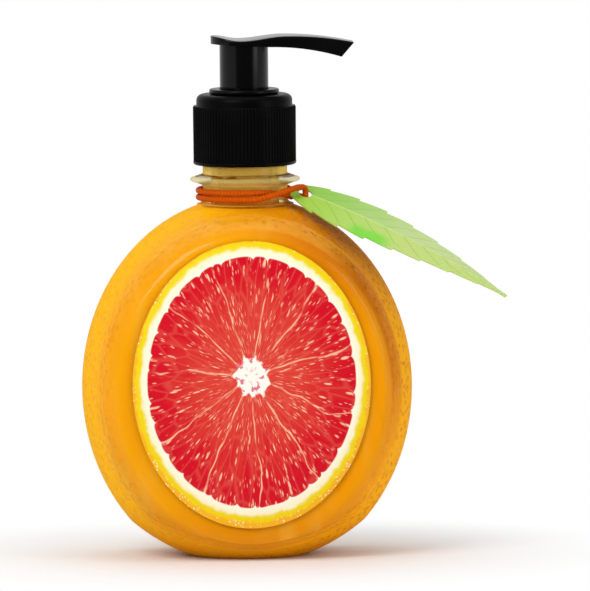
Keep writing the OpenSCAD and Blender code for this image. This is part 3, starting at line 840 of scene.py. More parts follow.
def amber_soap():
    """Amber liquid that glows with the light in it, with soft streaks and the peel's lens effect: dimple
    bumps, with painted highlight and painted shade in the colour.
    """
    f = Finish("amber_soap")
    where, x, y, z = f.place()
    shade = amber_tone_and_painted_light(f, where, x, y, z)
    streak = f.noise(f.point(f.times(x, 3.0), y, f.times(z, 0.7)), 40)
    shade = f.paint(shade, f.step(streak, 0.5, 0.75), 0.35, (255, 214, 96))
    shade = f.paint(shade, f.rise(z, ROOT_Z - 2, ROOT_Z + 4), 0.85, (248, 208, 92))
    f.set(
        base_color=shade,
        roughness=f.scaled(f.noise(where, 90), 0.06, 0.08),
        ior=1.38,
        transmission_weight=0.06,
        subsurface_weight=0.3,
        subsurface_radius=(0.012, 0.006, 0.001),
        subsurface_scale=1.0,
        specular_ior_level=0.06,
        normal=f.bump(peel_height(f, where, y, z), bpy.context.scene.soap_soap.peel_depth, 0.7),
    )
    return f.material


def slice_print(low, high):
    """Printed slice of citrus, drawn in rings, segments and juice cells round the label's middle."""
    f = Finish("slice_print")
    where, x, y, z = f.place()
    label = bpy.context.scene.soap_label
    across = f.math("DIVIDE", x, (high.x - low.x) / 2)
    up = f.math("DIVIDE", f.less(z, (high.z + low.z) / 2), (high.z - low.z) / 2)
    up = f.less(up, SLICE_RISE)
    heart_up = f.less(up, HEART_RISE)
    flat = f.point(across, up)
    ring, heart = f.reach(across, up), f.reach(across, heart_up)
    turn = f.math("ARCTAN2", heart_up, across)
    wander = f.noise(flat, 2.2)
    # Segments: how far a place is from the nearest membrane and from the pith, in shares of the label
    count = label.segments
    phase = f.scaled(turn, count / (2 * pi), f.times(wander, 0.6))
    to_wall = f.less(0.5, f.apart(f.math("FRACT", f.plus(phase, 20.3)), 0.5))
    to_wall = f.times(f.times(to_wall, heart), 2 * pi / count)
    lobes = f.size(f.math("SINE", f.scaled(wander, 9.0, f.times(turn, 13.0))))
    notch = f.math("POWER", f.rest(lobes), 3.0)
    to_pith = f.less(f.scaled(notch, -0.022, PITH_AT), ring)
    corner = f.scaled(to_pith, 0.5, f.times(to_wall, 0.8))
    pulp = f.step(f.math("SMOOTH_MIN", to_pith, corner, 0.03), 0.002, 0.012)
    # Juice cells: long drops and two sizes of glints that point to the heart
    polar = f.point(f.times(turn, 10.0), f.times(heart, 4.5), wander)
    drops = f.step(f.cells(polar, 1.0, "DISTANCE_TO_EDGE"), 0.0, 0.12)
    glow = f.step(f.scaled(f.noise(polar, 0.7), 0.7, f.times(heart, -1.0)), -0.5, 0.05)
    flesh = f.mix(glow, label.pulp_rim, label.pulp_heart)
    flesh = f.paint(flesh, f.rest(drops), 0.18, (240, 128, 104))
    for turns, rows, strength, seed in ((22.0, 7.0, 0.8, 1.0), (40.0, 12.0, 0.65, 5.0)):
        grid = f.point(f.times(turn, turns), f.times(heart, rows), seed)
        glint = f.rest(f.step(f.cells(grid, 1.0), 0.15, 0.3))
        some = f.step(f.noise(f.point(across, up, seed), 9), 0.42, 0.58)
        flesh = f.paint(flesh, f.times(glint, some), strength, (250, 208, 172))
    seen = f.step(f.noise(f.point(across, up, 7.0), 5), 0.36, 0.6)
    wall = f.times(f.rest(f.step(to_wall, 0.001, 0.009)), seen)
    flesh = f.paint(flesh, wall, 0.85, (248, 196, 156))
    # Core with a few flecks, pith, zest and rind
    spoke = f.times(f.rest(f.step(to_wall, 0.0, 0.03)), 0.03)
    ragged = f.scaled(f.noise(flat, 12, 4), 0.16, 0.05)
    core = f.step(f.less(f.plus(ragged, spoke), heart), -0.012, 0.014)
    fleck = f.noise(f.point(f.times(turn, 2.2), f.times(heart, 18.0), 3.0), 1.0)
    fleck = f.times(f.step(fleck, 0.54, 0.62), f.step(heart, 0.02, 0.06))
    flesh = f.mix(core, flesh, f.paint(tone(252, 240, 230), fleck, 0.8, (205, 40, 92)))
    pith = f.mix(f.step(ring, 0.87, 0.92), tone(249, 243, 220), label.pith)
    whole = f.mix(pulp, pith, flesh)
    rim = f.scaled(f.noise(flat, 11, 4), 0.07, f.plus(ring, -0.035))
    whole = f.mix(f.step(rim, *ZEST_FROM), whole, label.zest)
    pores = f.rest(f.step(f.cells(flat, 44), 0.18, 0.36))
    lit = f.step(f.noise(f.point(across, up, 9.0), 4), 0.4, 0.62)
    rind = f.paint(label.rind, f.times(pores, lit), 0.75, (255, 246, 214))
    whole = f.mix(f.step(rim, *RIND_FROM), whole, rind)
    # The film's edge and back are bare
    front = low.y / MM
    whole = f.mix(f.rise(y, front + 0.06, front + 0.1), whole, tone(250, 240, 205))
    f.set(
        base_color=whole,
        roughness=f.scaled(f.noise(where, 240), 0.12, 0.3),
        specular_ior_level=0.15,
        coat_weight=0.05,
        coat_roughness=0.12,
        normal=f.bump(f.noise(where, 160), 0.00004, 0.25),
    )
    return f.material


def elastic_cord():
    """Knitted cover of an elastic cord: fine ridges across it, painted shade in the grooves between them,
    with some fuzz.
    """
    f = Finish("elastic_cord")
    along = f.node("Attribute", attribute_name="along").outputs["Fac"]
    knit = f.scaled(f.math("SINE", f.times(along, 2 * pi / (KNIT_PITCH * MM))), 0.5, 0.5)
    fuzz = f.noise(f.place()[0], 1600, 3)
    base = bpy.context.scene.soap_leaf.elastic
    # Painted shade: the grooves between the knit's ridges are darker
    shade = f.mix(f.times(knit, 0.6), [c * 0.72 for c in base], base)
    shade = f.paint(shade, f.step(fuzz, 0.5, 0.75), 0.3, (236, 120, 16))
    f.set(
        base_color=shade,
        roughness=f.scaled(fuzz, 0.2, 0.5),
        specular_ior_level=0.05,
        normal=f.bump(f.scaled(fuzz, 0.4, knit), 0.00018, 0.7),
    )
    return f.material


def leaf_card():
    """Coated green card with a printed midrib and side veins, read from the leaf's own map."""
    f = Finish("leaf_card")
    leaf = bpy.context.scene.soap_leaf
    parts = f.node("SeparateXYZ", {0: f.node("UVMap", uv_map="leaf").outputs[0]}).outputs
    along, side = parts[0], f.scaled(parts[1], 2.0, -1.0)
    off = f.size(side)
    cloud = f.noise(f.place()[0], 70, 3)
    green = f.mix(f.step(f.scaled(cloud, 0.25, along), 0.12, 0.75), leaf.green, leaf.pale)
    green = f.paint(green, f.step(side, 0.02, -0.02), 0.45, (180, 208, 66))
    vein = f.math("FRACT", f.scaled(along, 11.0, f.times(off, -1.5)))
    vein = f.step(f.apart(vein, 0.5), 0.07, 0.02)
    twig = f.math("FRACT", f.scaled(along, 34.0, f.times(off, 5.0)))
    twig = f.times(f.step(f.apart(twig, 0.5), 0.06, 0.02), 0.35)
    vein = f.times(f.math("MAXIMUM", vein, twig), f.step(off, 1.0, 0.7))
    green = f.paint(green, vein, 0.4, (96, 168, 44))
    green = f.paint(green, f.step(off, 0.06, 0.02), 0.6, (196, 220, 130))
    # A brighter spot on the near edge
    spot = f.times(f.step(along, 0.27, 0.33), f.rest(f.step(along, 0.43, 0.5)))
    spot = f.times(spot, f.step(side, -0.35, -0.7))
    green = f.paint(green, spot, 0.85, (104, 208, 6))
    relief = f.plus(f.times(vein, -0.6), f.times(cloud, 0.3))
    f.set(
        base_color=green,
        roughness=f.scaled(cloud, 0.15, 0.38),
        sheen_weight=0.05,
        normal=f.bump(relief, 0.0001, 0.5),
    )
    return f.material


# Pieces


def panel_profile(inset):
    """Half outline of the body in depth before it is narrowed, from mid front panel to mid back panel."""
    ball = BODY_HALF_H - inset
    flat = (BODY_HALF_D - inset) / DEPTH_SHARE
    corner = sqrt(ball**2 - flat**2)
    start, end = corner - PANEL_EDGE, corner + 1.5 * PANEL_EDGE
    end_y = sqrt(ball**2 - end**2)
    panel_steps, edge_steps, side_steps = 22, 8, 20
    half = [(start * i / panel_steps, flat) for i in range(panel_steps)]
    half += bend((start, flat), (corner, flat), (end, end_y), edge_steps)
    low = atan2(end_y, end)
    turns = [low * (1 - i / side_steps) for i in range(1, side_steps + 1)]
    half += [(ball * cos(t), ball * sin(t)) for t in turns]
    return [(r, -y) for r, y in half] + half[-2::-1]


def body_solid(name, inset, low_z, lift, steps=168):
    """The fruit's form: turned about the depth axis, kept in the base's larger ball and above the base."""
    bowl_z = sqrt(BOWL_R**2 - STAND_R**2)
    bowl_r = BOWL_R - lift
    dome_r = (PUSH_UP_R**2 + PUSH_UP**2) / (2 * PUSH_UP)

    def kept(x, y, dz):
        """A point drawn in towards the body's middle until it is inside the base, then scaled to the oval."""
        gap = BODY_MID_Z - bowl_z
        share = 1.0
        a = x * x + y * y + dz * dz
        if a > 1e-9:
            b = 2 * dz * gap
            share = min(share, (-b + sqrt(b * b - 4 * a * (gap * gap - bowl_r**2))) / (2 * a))
        if dz < 0:
            share = min(share, (low_z - BODY_MID_Z) / dz)
        x, y, z = x * share, y * share, BODY_MID_Z + dz * share
        if z < low_z + 0.05:
            z = max(z, PUSH_UP - dome_r + sqrt(max(0.0, (dome_r + lift) ** 2 - x * x - y * y)))
        return (x * WIDTH_SHARE, y * DEPTH_SHARE, z)

    turns = circle(steps)
    rings = [
        [kept(r * c, y, r * s) for c, s in turns] if r >= TINY else [kept(0, y, 0)]
        for r, y in panel_profile(inset)
    ]
    return loft(name, rings)


class SOAP_OT_shell(bpy.types.Operator):
    """Clear bottle with its neck, ring and thread"""

    bl_idname = "soap_bottle.shell"
    bl_label = "Bottle Shell"

    def execute(self, context):
        shell = body_solid("bottle_shell", 0, 0, 0)
        foot_r = NECK_R + NECK_FILLET
        neck = [(0, ROOT_Z - 8), (9, ROOT_Z - 8), (foot_r, ROOT_Z - 1)]
        neck += arc(foot_r, ROOT_Z + NECK_FILLET, NECK_FILLET, 270, 180, 8)
        neck += [(NECK_R, RING_LOW_Z - 0.3), (NECK_R + 0.5, RING_LOW_Z + 0.2)]
        neck += arc(RING_R - RING_EDGE_R, RING_MID_Z, RING_EDGE_R, -75, 75, 6)
        neck += [(NECK_R + 0.5, RING_HIGH_Z - 0.2), (NECK_R, RING_HIGH_Z + 0.3)]
        neck += [(NECK_R, CLOSURE_LOW_Z - 0.5), (FINISH_R, CLOSURE_LOW_Z + 0.5)]
        neck += [(FINISH_R, LIP_Z - 0.5), (FINISH_R - 0.5, LIP_Z), (0, LIP_Z)]
        joined(shell, lathe("neck", neck, 128), "UNION")
        joined(shell, body_solid("hollow", WALL, BASE_T, BASE_T), "DIFFERENCE")
        joined(shell, rod("bore", BORE_R, BODY_MID_Z, LIP_Z + 4, 128), "DIFFERENCE")
        steps = 40
        ridge = []
        for i in range(int(THREAD_TURNS * steps) + 1):
            t = i / steps
            ends = max(0.0, 1 - THREAD_FADE * t) + max(0.0, 1 - THREAD_FADE * (THREAD_TURNS - t))
            r = FINISH_R + THREAD_LIFT - THREAD_SINK * ends
            ridge.append((r * cos(2 * pi * t), r * sin(2 * pi * t), THREAD_LOW_Z + THREAD_PITCH * t))
        material = clear_shell()
        joined(shell, tube("thread", ridge, THREAD_T, False, material, 10, 2), "UNION")
        soften(shell, 28)
        dress(shell, material, "bottle_body", "clear_shell", "bottle")
        return {"FINISHED"}


class SOAP_OT_soap(bpy.types.Operator):
    """Amber soap that fills the bottle up into its neck"""

    bl_idname = "soap_bottle.soap"
    bl_label = "Liquid Soap"

    def execute(self, context):
        soap = body_solid("amber_soap", WALL + SOAP_GAP, BASE_T + SOAP_GAP, BASE_T + SOAP_GAP)
        neck_r, shoulder_z, wide_r = BORE_R - SOAP_GAP, ROOT_Z - 1.4, 30
        room = [(neck_r, shoulder_z), (wide_r, shoulder_z), (wide_r, LIP_Z), (neck_r, LIP_Z)]
        joined(soap, lathe("neck_room", room, 128), "DIFFERENCE")
        # The column's top rises a little at its edge
        column = [(0, BODY_MID_Z), (neck_r, BODY_MID_Z), (neck_r, FILL_Z + 0.3)]
        column += [(BORE_R - 0.6, FILL_Z), (0, FILL_Z)]
        joined(soap, lathe("column", column, 128), "UNION")
        room, r = [], 0
        for outer_r, low_z in (
            (TUBE_R, TUBE_LOW_Z),
            (SOCKET_R, SOCKET_LOW_Z),
            (CAGE_R, SOCKET_TOP_Z),
            (CYLINDER_R, LEDGE_Z - FLOOR_T),
            (CHAMBER_R, CHAMBER_FLOOR_Z - FLOOR_T),
        ):
            room += [(r, low_z - SOAP_GAP), (outer_r + SOAP_GAP, low_z - SOAP_GAP)]
            r = outer_r + SOAP_GAP
        room += [(r, LIP_Z), (0, LIP_Z)]
        joined(soap, lathe("pump_room", room, 96), "DIFFERENCE")
        soften(soap, 28)
        dress(soap, amber_soap(), "bottle_body", "soap", "liquid_soap")
        return {"FINISHED"}


class SOAP_OT_label(bpy.types.Operator):
    """Oval film with the printed slice"""

    bl_idname = "soap_bottle.label"
    bl_label = "Front Label"

    def execute(self, context):
        low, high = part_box("front_label")
        mid = (low + high) / 2 / MM
        half = (high - low) / 2 / MM
        front, back = low.y / MM, high.y / MM
        edge = circle(144)
        rings = [
            [(mid.x + share * half.x * c, y, mid.z + share * half.z * s) for c, s in edge]
            for share, y in ((1, back), (1, front + 0.04), (0.9985, front), (0.6, front), (0.25, front))
        ]
        label = loft("slice_label", rings, capped=True)
        soften(label, 40)
        dress(label, slice_print(low, high), "bottle_body", "label_print", "front_label")
        return {"FINISHED"}


class SOAP_OT_loop(bpy.types.Operator):
    """Elastic cord wound twice round the neck and through the leaf"""

    bl_idname = "soap_bottle.loop"
    bl_label = "Neck Loop"

    def execute(self, context):
        # Radius, degrees from the leaf and height, from under the leaf's hole to over it
        route = [
            (LEAF_HOLE_AT, 0, CORD_UNDER_Z),
            (LEAF_HOLE_AT - 0.6, 15, CORD_UNDER_Z + 0.4),
            (LOOP_R + 2.2, 29, LOOP_LOW_Z),
            (LOOP_R + 0.8, 45, LOOP_HIGH_Z - 0.1),
        ]
        route += [(LOOP_R, a, LOOP_HIGH_Z) for a in range(65, 306, 15)]
        route += [
            (LOOP_R, 325, LOOP_HIGH_Z - 0.5),
            (LOOP_R, 345, (LOOP_LOW_Z + LOOP_HIGH_Z) / 2),
            (LOOP_R, 365, LOOP_LOW_Z),
        ]
        route += [(LOOP_R, a, LOOP_LOW_Z) for a in range(385, 626, 15)]
        route += [
            (LOOP_R + 0.4, 645, LOOP_LOW_Z),
            (LOOP_R + 1.2, 662, LOOP_LOW_Z + 0.3),
            (LOOP_R + 2.3, 680, LOOP_LOW_Z + 1.6),
            (LOOP_R + 3.4, 697, LOOP_LOW_Z + 2.9),
            (LOOP_R + 4.3, 710, LOOP_LOW_Z + 3.5),
            (LEAF_HOLE_AT, 719, LOOP_LOW_Z + 2.8),
        ]
        turned = [(r, radians(LEAF_TURN + a), z) for r, a, z in route]
        points = [(r * cos(a), r * sin(a), z) for r, a, z in turned]
        material = elastic_cord()
        cord = tube("elastic_loop", points, 2 * CORD_R, True, material, 16, 5)
        dress(cord, material, "bottle_body", "elastic", "neck_loop")
        return {"FINISHED"}


class SOAP_OT_leaf(bpy.types.Operator):
    """Card leaf with toothed edges, folded along its midrib"""

    bl_idname = "soap_bottle.leaf"
    bl_label = "Leaf Tag"

    def execute(self, context):
        shares = (0, 0.18, 0.36, 0.54, 0.72, 0.88, 0.97)
        stations = [((k + f) / TEETH, 1 - TOOTH_SHARE * (1 - f)) for k in range(TEETH) for f in shares]
        across = [-1 + i / 5 for i in range(11)]
        turn = radians(LEAF_TURN)
        points, maps = [], []
        for s, tooth in stations:
            slope = SLOPE_IN + (SLOPE_OUT - SLOPE_IN) * s
            reach = LEAF_IN_R + LEAF_BEND_R * (sin(slope) - sin(SLOPE_IN))
            level = LEAF_Z - LEAF_BEND_R * (cos(SLOPE_IN) - cos(slope))
            along = LEAF_START + (1 - LEAF_START) * s
            half = LEAF_HALF_W * max(LEAF_LEAST, sin(pi * along**LEAF_LEAN))
            for v in across:
                tilt = TILT_NEAR if v < 0 else TILT_FAR
                off = v * (half * tooth - LEAF_TRIM)
                up = off * sin(tilt)
                out, side = reach + up * sin(slope), off * cos(tilt)
                x = out * cos(turn) - side * sin(turn)
                y = out * sin(turn) + side * cos(turn)
                points.append((x, y, level + up * cos(slope)))
                maps.append((s, (v + 1) / 2))
        n = len(across)
        faces = [
            (i * n + j, (i + 1) * n + j, (i + 1) * n + j + 1, i * n + j + 1)
            for i in range(len(stations) - 1)
            for j in range(n - 1)
        ]
        mesh = bpy.data.meshes.new("leaf_tag_card")
        mesh.from_pydata(in_metres(points), [], faces)
        layer = mesh.uv_layers.new(name="leaf")
        for corner in mesh.loops:
            layer.data[corner.index].uv = maps[corner.vertex_index]
        leaf = linked("leaf_tag_card", mesh)
        card = leaf.modifiers.new("card", "SOLIDIFY")
        card.thickness = LEAF_T * MM
        card.offset = 0
        bodied(leaf)
        punch = rod("punch", LEAF_HOLE_R, LEAF_Z - 12, LEAF_Z + 12, 40)
        for v in punch.data.vertices:
            v.co += Vector((LEAF_HOLE_AT * cos(turn), LEAF_HOLE_AT * sin(turn), 0)) * MM
        joined(leaf, punch, "DIFFERENCE")
        soften(leaf, 25)
        dress(leaf, leaf_card(), "leaf", "leaf_card", "leaf_tag")
        return {"FINISHED"}


class SOAP_OT_closure(bpy.types.Operator):
    """Ribbed screw closure and the collar that stands in it"""

    bl_idname = "soap_bottle.closure"
    bl_label = "Closure and Collar"

    def execute(self, context):
        hole, lip = COLLAR_R + 0.4, 0.3
        side = [
            (CLOSURE_R, CLOSURE_LOW_Z),
            (CLOSURE_R, RIB_LOW_Z),
            (RIB_ROOT_R, RIB_LOW_Z),
            (RIB_ROOT_R, RIB_TOP_Z),
            (CLOSURE_SHOULDER_R, RIB_TOP_Z),
            (CLOSURE_SHOULDER_R, CLOSURE_TOP_Z),
        ]
        outline = [(CLOSURE_IN_R, CLOSURE_LOW_Z)]
        foot, crown = CLOSURE_FOOT_R, CLOSURE_ROUND_R
        outline += arc(CLOSURE_R - foot, CLOSURE_LOW_Z + foot, foot, -90, 0, 6)
        outline += eased(side, 0.25, closed=False)
        outline += arc(CLOSURE_SHOULDER_R - crown, CLOSURE_TOP_Z - crown, crown, 0, 90, 8)
        outline += [(hole + lip, CLOSURE_TOP_Z), (hole, CLOSURE_TOP_Z - lip)]
        outline += [(hole, CLOSURE_IN_Z), (CLOSURE_IN_R, CLOSURE_IN_Z)]
        body = lathe("ribbed_closure", outline, 120)
        soften(body)
        # One rib: a rounded section, nearly flat at both ends
        section = ((-1, -0.15), (-0.55, 0.6), (0, 1.0), (0.55, 0.6), (1, -0.15))
        levels = [(RIB_LOW_Z - 0.05, 0.02), (RIB_LOW_Z + 0.02, 0.8)]
        levels += [(RIB_TOP_Z - 0.5, 1.0), (RIB_TOP_Z - 0.05, 0.25)]
        rings = [[(out * RIB_DEPTH * s, side * RIB_HALF_W, z) for side, out in section] for z, s in levels]
        rib = loft("rib", rings, capped=True)
        soften(rib, 50)
        material = moulded_black("closure_black", 0.36, 0.04)
        modifier = body.modifiers.new("ribs", "NODES")
        modifier.node_group = rib_tree()
        count = context.scene.soap_pump.rib_count
        set_inputs(modifier, rib=rib, count=count, radius=RIB_ROOT_R * MM, finish=material)
        bodied(body)
        bpy.data.objects.remove(rib)
        dress(body, material, "cap", "black_plastic", "screw_closure")
        guide, cup = STEM_R + SLIDE_GAP, SKIRT_R + SLIDE_GAP
        profile = [
            (guide, CHAMBER_FLOOR_Z),
            (COLLAR_R, CHAMBER_FLOOR_Z),
            (COLLAR_R, COLLAR_LOW_Z),
            (COLLAR_FLANGE_R, COLLAR_LOW_Z),
            (COLLAR_FLANGE_R, COLLAR_TOP_Z),
            (cup, COLLAR_TOP_Z),
            (cup, COLLAR_FLOOR_Z),
            (guide, COLLAR_FLOOR_Z),
        ]
        collar = lathe("lock_ring", eased(profile, 0.6), 120)
        soften(collar)
        dress(collar, moulded_black("collar_black", 0.3, 0.1), "pump_body", "black_plastic", "lock_collar")
        return {"FINISHED"}


def head_half_width(x):
    """Half the head's width at a place along the spout."""
    back = PAD_HALF_W - PAD_REACH
    if x < back:
        return sqrt(max(0.0, PAD_HALF_W**2 - (x - back) ** 2))
    t = min(1.0, (x - back) / (SPOUT_REACH + 1 - back))
    return PAD_HALF_W + (TIP_HALF_W - PAD_HALF_W) * t * t * (3 - 2 * t)


def head_top(x):
    """Height of the head's top along the spout."""
    if x <= CREST_X:
        span = CREST_X - DISH_X if x > DISH_X else DISH_X + PAD_REACH
        return HEAD_T - DISH * (1 + cos(pi * (x - DISH_X) / span)) / 2
    return HEAD_T - TIP_DROP * ((x - CREST_X) / (SPOUT_REACH - CREST_X)) ** 2


def head_under(x):
    """Height of the head's underside along the spout."""
    end = SPOUT_REACH - TIP_CUT
    if x > end:
        tip = head_top(SPOUT_REACH) - TIP_T
        return -UNDER_DROP + (tip + UNDER_DROP) * (x - end) / TIP_CUT
    if x > SKIRT_R:
        return UNDER_LIFT - (UNDER_LIFT + UNDER_DROP) * ((x - SKIRT_R) / (end - SKIRT_R)) ** 2
    return UNDER_LIFT + PAD_RISE * (SKIRT_R - x) / (SKIRT_R + PAD_REACH)


def head_section(x):
    """The head's rounded section at a place along the spout."""
    half, top, under = max(head_half_width(x), 0.3), head_top(x), head_under(x)
    r = max(0.05, min(HEAD_ROUND, 0.42 * (top - under), 0.5 * half))
    low_r = 0.6 * r
    section = []
    for y, z, corner_r, start in (
        (half - low_r, under + low_r, low_r, -90),
        (half - r, top - r, r, 0),
        (-half + r, top - r, r, 90),
        (-half + low_r, under + low_r, low_r, 180),
    ):
        section += arc(y, z, corner_r, start, start + 90, 5)
    return [(x, y, HEAD_LOW_Z + z) for y, z in section]


class SOAP_OT_head(bpy.types.Operator):
    """Pump head: finger pad, spout with its outlet, and skirt"""

    bl_idname = "soap_bottle.head"
    bl_label = "Pump Head"

    def execute(self, context):
        head = loft("spout_head", [head_section(x) for x in HEAD_STOPS], capped=True)
        outlet = rod("outlet", OUTLET_R, 0, OUTLET_LEN, 32)
        slope = atan2(OUTLET_DROP, SPOUT_REACH - TIP_CUT - CREST_X)
        start = Vector((CREST_X, 0, HEAD_LOW_Z + OUTLET_UP)) * MM
        for v in outlet.data.vertices:
            x, y, z = v.co
            along = z + OUTLET_START * MM
            turned = (along * cos(slope) + x * sin(slope), y, x * cos(slope) - along * sin(slope))
            v.co = start + Vector(turned)
        joined(head, outlet, "DIFFERENCE")
        skirt_in, socket_r, stem_hole = SKIRT_R - HEAD_WALL, STEM_R + STEM_SOCKET_T, STEM_R + PRESS_GAP
        hollow_top, socket_low = HEAD_LOW_Z - HEAD_WALL, COLLAR_TOP_Z + 2
        skirt_top = HEAD_LOW_Z + UNDER_LIFT + PAD_RISE + 0.3
        skirt = [
            (0, skirt_top),
            (0, STEM_TOP_Z),
            (stem_hole, STEM_TOP_Z),
            (stem_hole, socket_low),
            (socket_r, socket_low),
            (socket_r, hollow_top),
            (skirt_in, hollow_top),
            (skirt_in, SKIRT_LOW_Z),
            (SKIRT_R, SKIRT_LOW_Z),
            (SKIRT_R, skirt_top),
        ]
        joined(head, lathe("skirt", eased(skirt, 0.25, 3), 96), "UNION")
        soften(head, 34)
        dress(head, moulded_black("head_black", 0.2, 0.16), "head", "black_plastic", "pump_head")
        return {"FINISHED"}


def housing_profile():
    """Section of the pump's housing: down inside from the flange to the socket, and up outside."""
    return [
        (COLLAR_R + PRESS_GAP, FLANGE_TOP_Z),
        (COLLAR_R + PRESS_GAP, CHAMBER_FLOOR_Z),
        (CYLINDER_BORE_R, CHAMBER_FLOOR_Z),
        (CYLINDER_BORE_R, LEDGE_Z),
        (CAGE_IN_R, LEDGE_Z),
        (CAGE_IN_R, INLET_TOP_Z + CAGE_IN_R - INLET_R),
        (INLET_R, INLET_TOP_Z),
        (INLET_R, SOCKET_TOP_Z),
        (TUBE_R + PRESS_GAP, SOCKET_TOP_Z),
        (TUBE_R + PRESS_GAP, SOCKET_LOW_Z),
        (SOCKET_R, SOCKET_LOW_Z),
        (SOCKET_R, SOCKET_TOP_Z),
        (CAGE_R, SOCKET_TOP_Z),
        (CAGE_R, LEDGE_Z - FLOOR_T),
        (CYLINDER_R, LEDGE_Z - FLOOR_T),
        (CYLINDER_R, CHAMBER_FLOOR_Z - FLOOR_T),
        (CHAMBER_R, CHAMBER_FLOOR_Z - FLOOR_T),
        (CHAMBER_R, FLANGE_LOW_Z),
        (FINISH_R, FLANGE_LOW_Z),
        (FINISH_R, FLANGE_TOP_Z),
    ]


def piston_profile():
    """Section of the piston: a sleeve on the stem with a sealing lip at each end."""
    bore, waist = STEM_R + PISTON_GAP, PISTON_R - PISTON_WAIST
    end = [(bore, 0), (bore + PISTON_SLEEVE_T, 0), (waist - PISTON_LIP_T, PISTON_GROOVE)]
    end += [(PISTON_R - PISTON_LIP_T, 0), (PISTON_R, 0), (PISTON_R, PISTON_LIP_H), (waist, PISTON_FLARE)]
    lower = [(r, PISTON_LOW_Z + off) for r, off in end]
    upper = [(r, PISTON_TOP_Z - off) for r, off in end]
    return lower + upper[::-1]


def spring_path():
    """Middle line of the return spring's wire, with its first and last turn closed."""
    steps = 24
    close = 1.1 * WIRE
    height = SPRING_LEN - WIRE
    pitch = (height - 2 * close) / (SPRING_TURNS - 2)
    r = SPRING_R - WIRE / 2
    path = []
    for i in range(SPRING_TURNS * steps + 1):
        t = i / steps
        rise = close + pitch * (t - 1)
        if t < 1:
            rise = close * t
        elif t > SPRING_TURNS - 1:
            rise = height - close * (SPRING_TURNS - t)
        path.append((r * cos(2 * pi * t), r * sin(2 * pi * t), LEDGE_Z + PRESS_GAP + WIRE / 2 + rise))
    return path


class SOAP_OT_pump(bpy.types.Operator):
    """Inner pump: gasket, housing, dip tube, ball, spring, piston, seat and stem"""

    bl_idname = "soap_bottle.pump"
    bl_label = "Inner Pump"

    def execute(self, context):
        white = natural_plastic("natural_white", (236, 238, 232), 0.42)
        milky = natural_plastic("milky_tube", (232, 236, 228), 0.3, 0.35)
        foam = natural_plastic("foam_gasket", (238, 238, 230), 0.85)
        steel = drawn_steel()

        def turned(name, profile, ease, material, body, slot, node):
            piece = lathe(name, eased(profile, ease, 3), 72)
            soften(piece)
            dress(piece, material, body, slot, node)

        seal_in, seal_top = CHAMBER_R + PRESS_GAP, LIP_Z + GASKET_T
        seal = [(seal_in, LIP_Z), (FINISH_R, LIP_Z), (FINISH_R, seal_top), (seal_in, seal_top)]
        turned("foam_seal", seal, 0.2, foam, "pump_body", "gasket_foam", "neck_gasket")
        housing = housing_profile()
        turned("pump_cylinder", housing, 0.15, white, "pump_body", "white_plastic", "pump_housing")
        top = SOCKET_TOP_Z - SLIDE_GAP
        wall = [(TUBE_BORE_R, TUBE_LOW_Z), (TUBE_R, TUBE_LOW_Z), (TUBE_R, top), (TUBE_BORE_R, top)]
        straw = lathe("straw", wall, 48)
        for v in straw.data.vertices:
            # The lower end is cut at a slant
            if v.co.z < (TUBE_LOW_Z + 1) * MM:
                v.co.z += max(0.0, (v.co.x + TUBE_CUT_REACH * MM) * TUBE_SLANT - TUBE_CUT_DROP * MM)
        soften(straw)
        dress(straw, milky, "pump_body", "white_plastic", "dip_tube")
        low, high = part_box("inlet_ball")
        ball = lathe("valve_pearl", arc(0, (low.z + high.z) / 2 / MM, BALL_R, -90, 90, 24), 48)
        soften(ball, 60)
        dress(ball, steel, "valve_ball", "spring_steel", "inlet_ball")
        spring = tube("coil_spring", spring_path(), WIRE, False, steel, 12, 1)
        dress(spring, steel, "pump_body", "spring_steel", "return_spring")
        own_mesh(spring)
        turned("lip_piston", piston_profile(), 0.1, white, "plunger", "white_plastic", "piston")
        foot_z, plug_z = SEAT_LOW_Z - SEAT_FOOT_H, SEAT_TOP_Z + PLUG_H
        plug = [
            (0, foot_z),
            (SEAT_FOOT_R - SEAT_FOOT_CUT, foot_z),
            (SEAT_FOOT_R, foot_z + SEAT_FOOT_CUT),
            (SEAT_FOOT_R, SEAT_LOW_Z),
            (SEAT_R, SEAT_LOW_Z),
            (SEAT_R, SEAT_TOP_Z),
            (PLUG_R, SEAT_TOP_Z),
            (PLUG_R, plug_z),
            (0, plug_z),
        ]
        turned("stem_plug", plug, 0.15, white, "head", "white_plastic", "piston_seat")
        low_z, top_z = SEAT_TOP_Z, STEM_TOP_Z
        wall = [(STEM_BORE_R, low_z), (STEM_R, low_z), (STEM_R, top_z), (STEM_BORE_R, top_z)]
        stem = lathe("hollow_stem", wall, 48)
        port = rod("port", PORT_R, -6, 6, 24)
        for v in port.data.vertices:
            x, y, z = v.co
            v.co = (z, y, (SEAT_TOP_Z + PORT_UP) * MM - x)
        joined(stem, port, "DIFFERENCE")
        soften(stem)
        dress(stem, white, "head", "white_plastic", "stem")
        return {"FINISHED"}


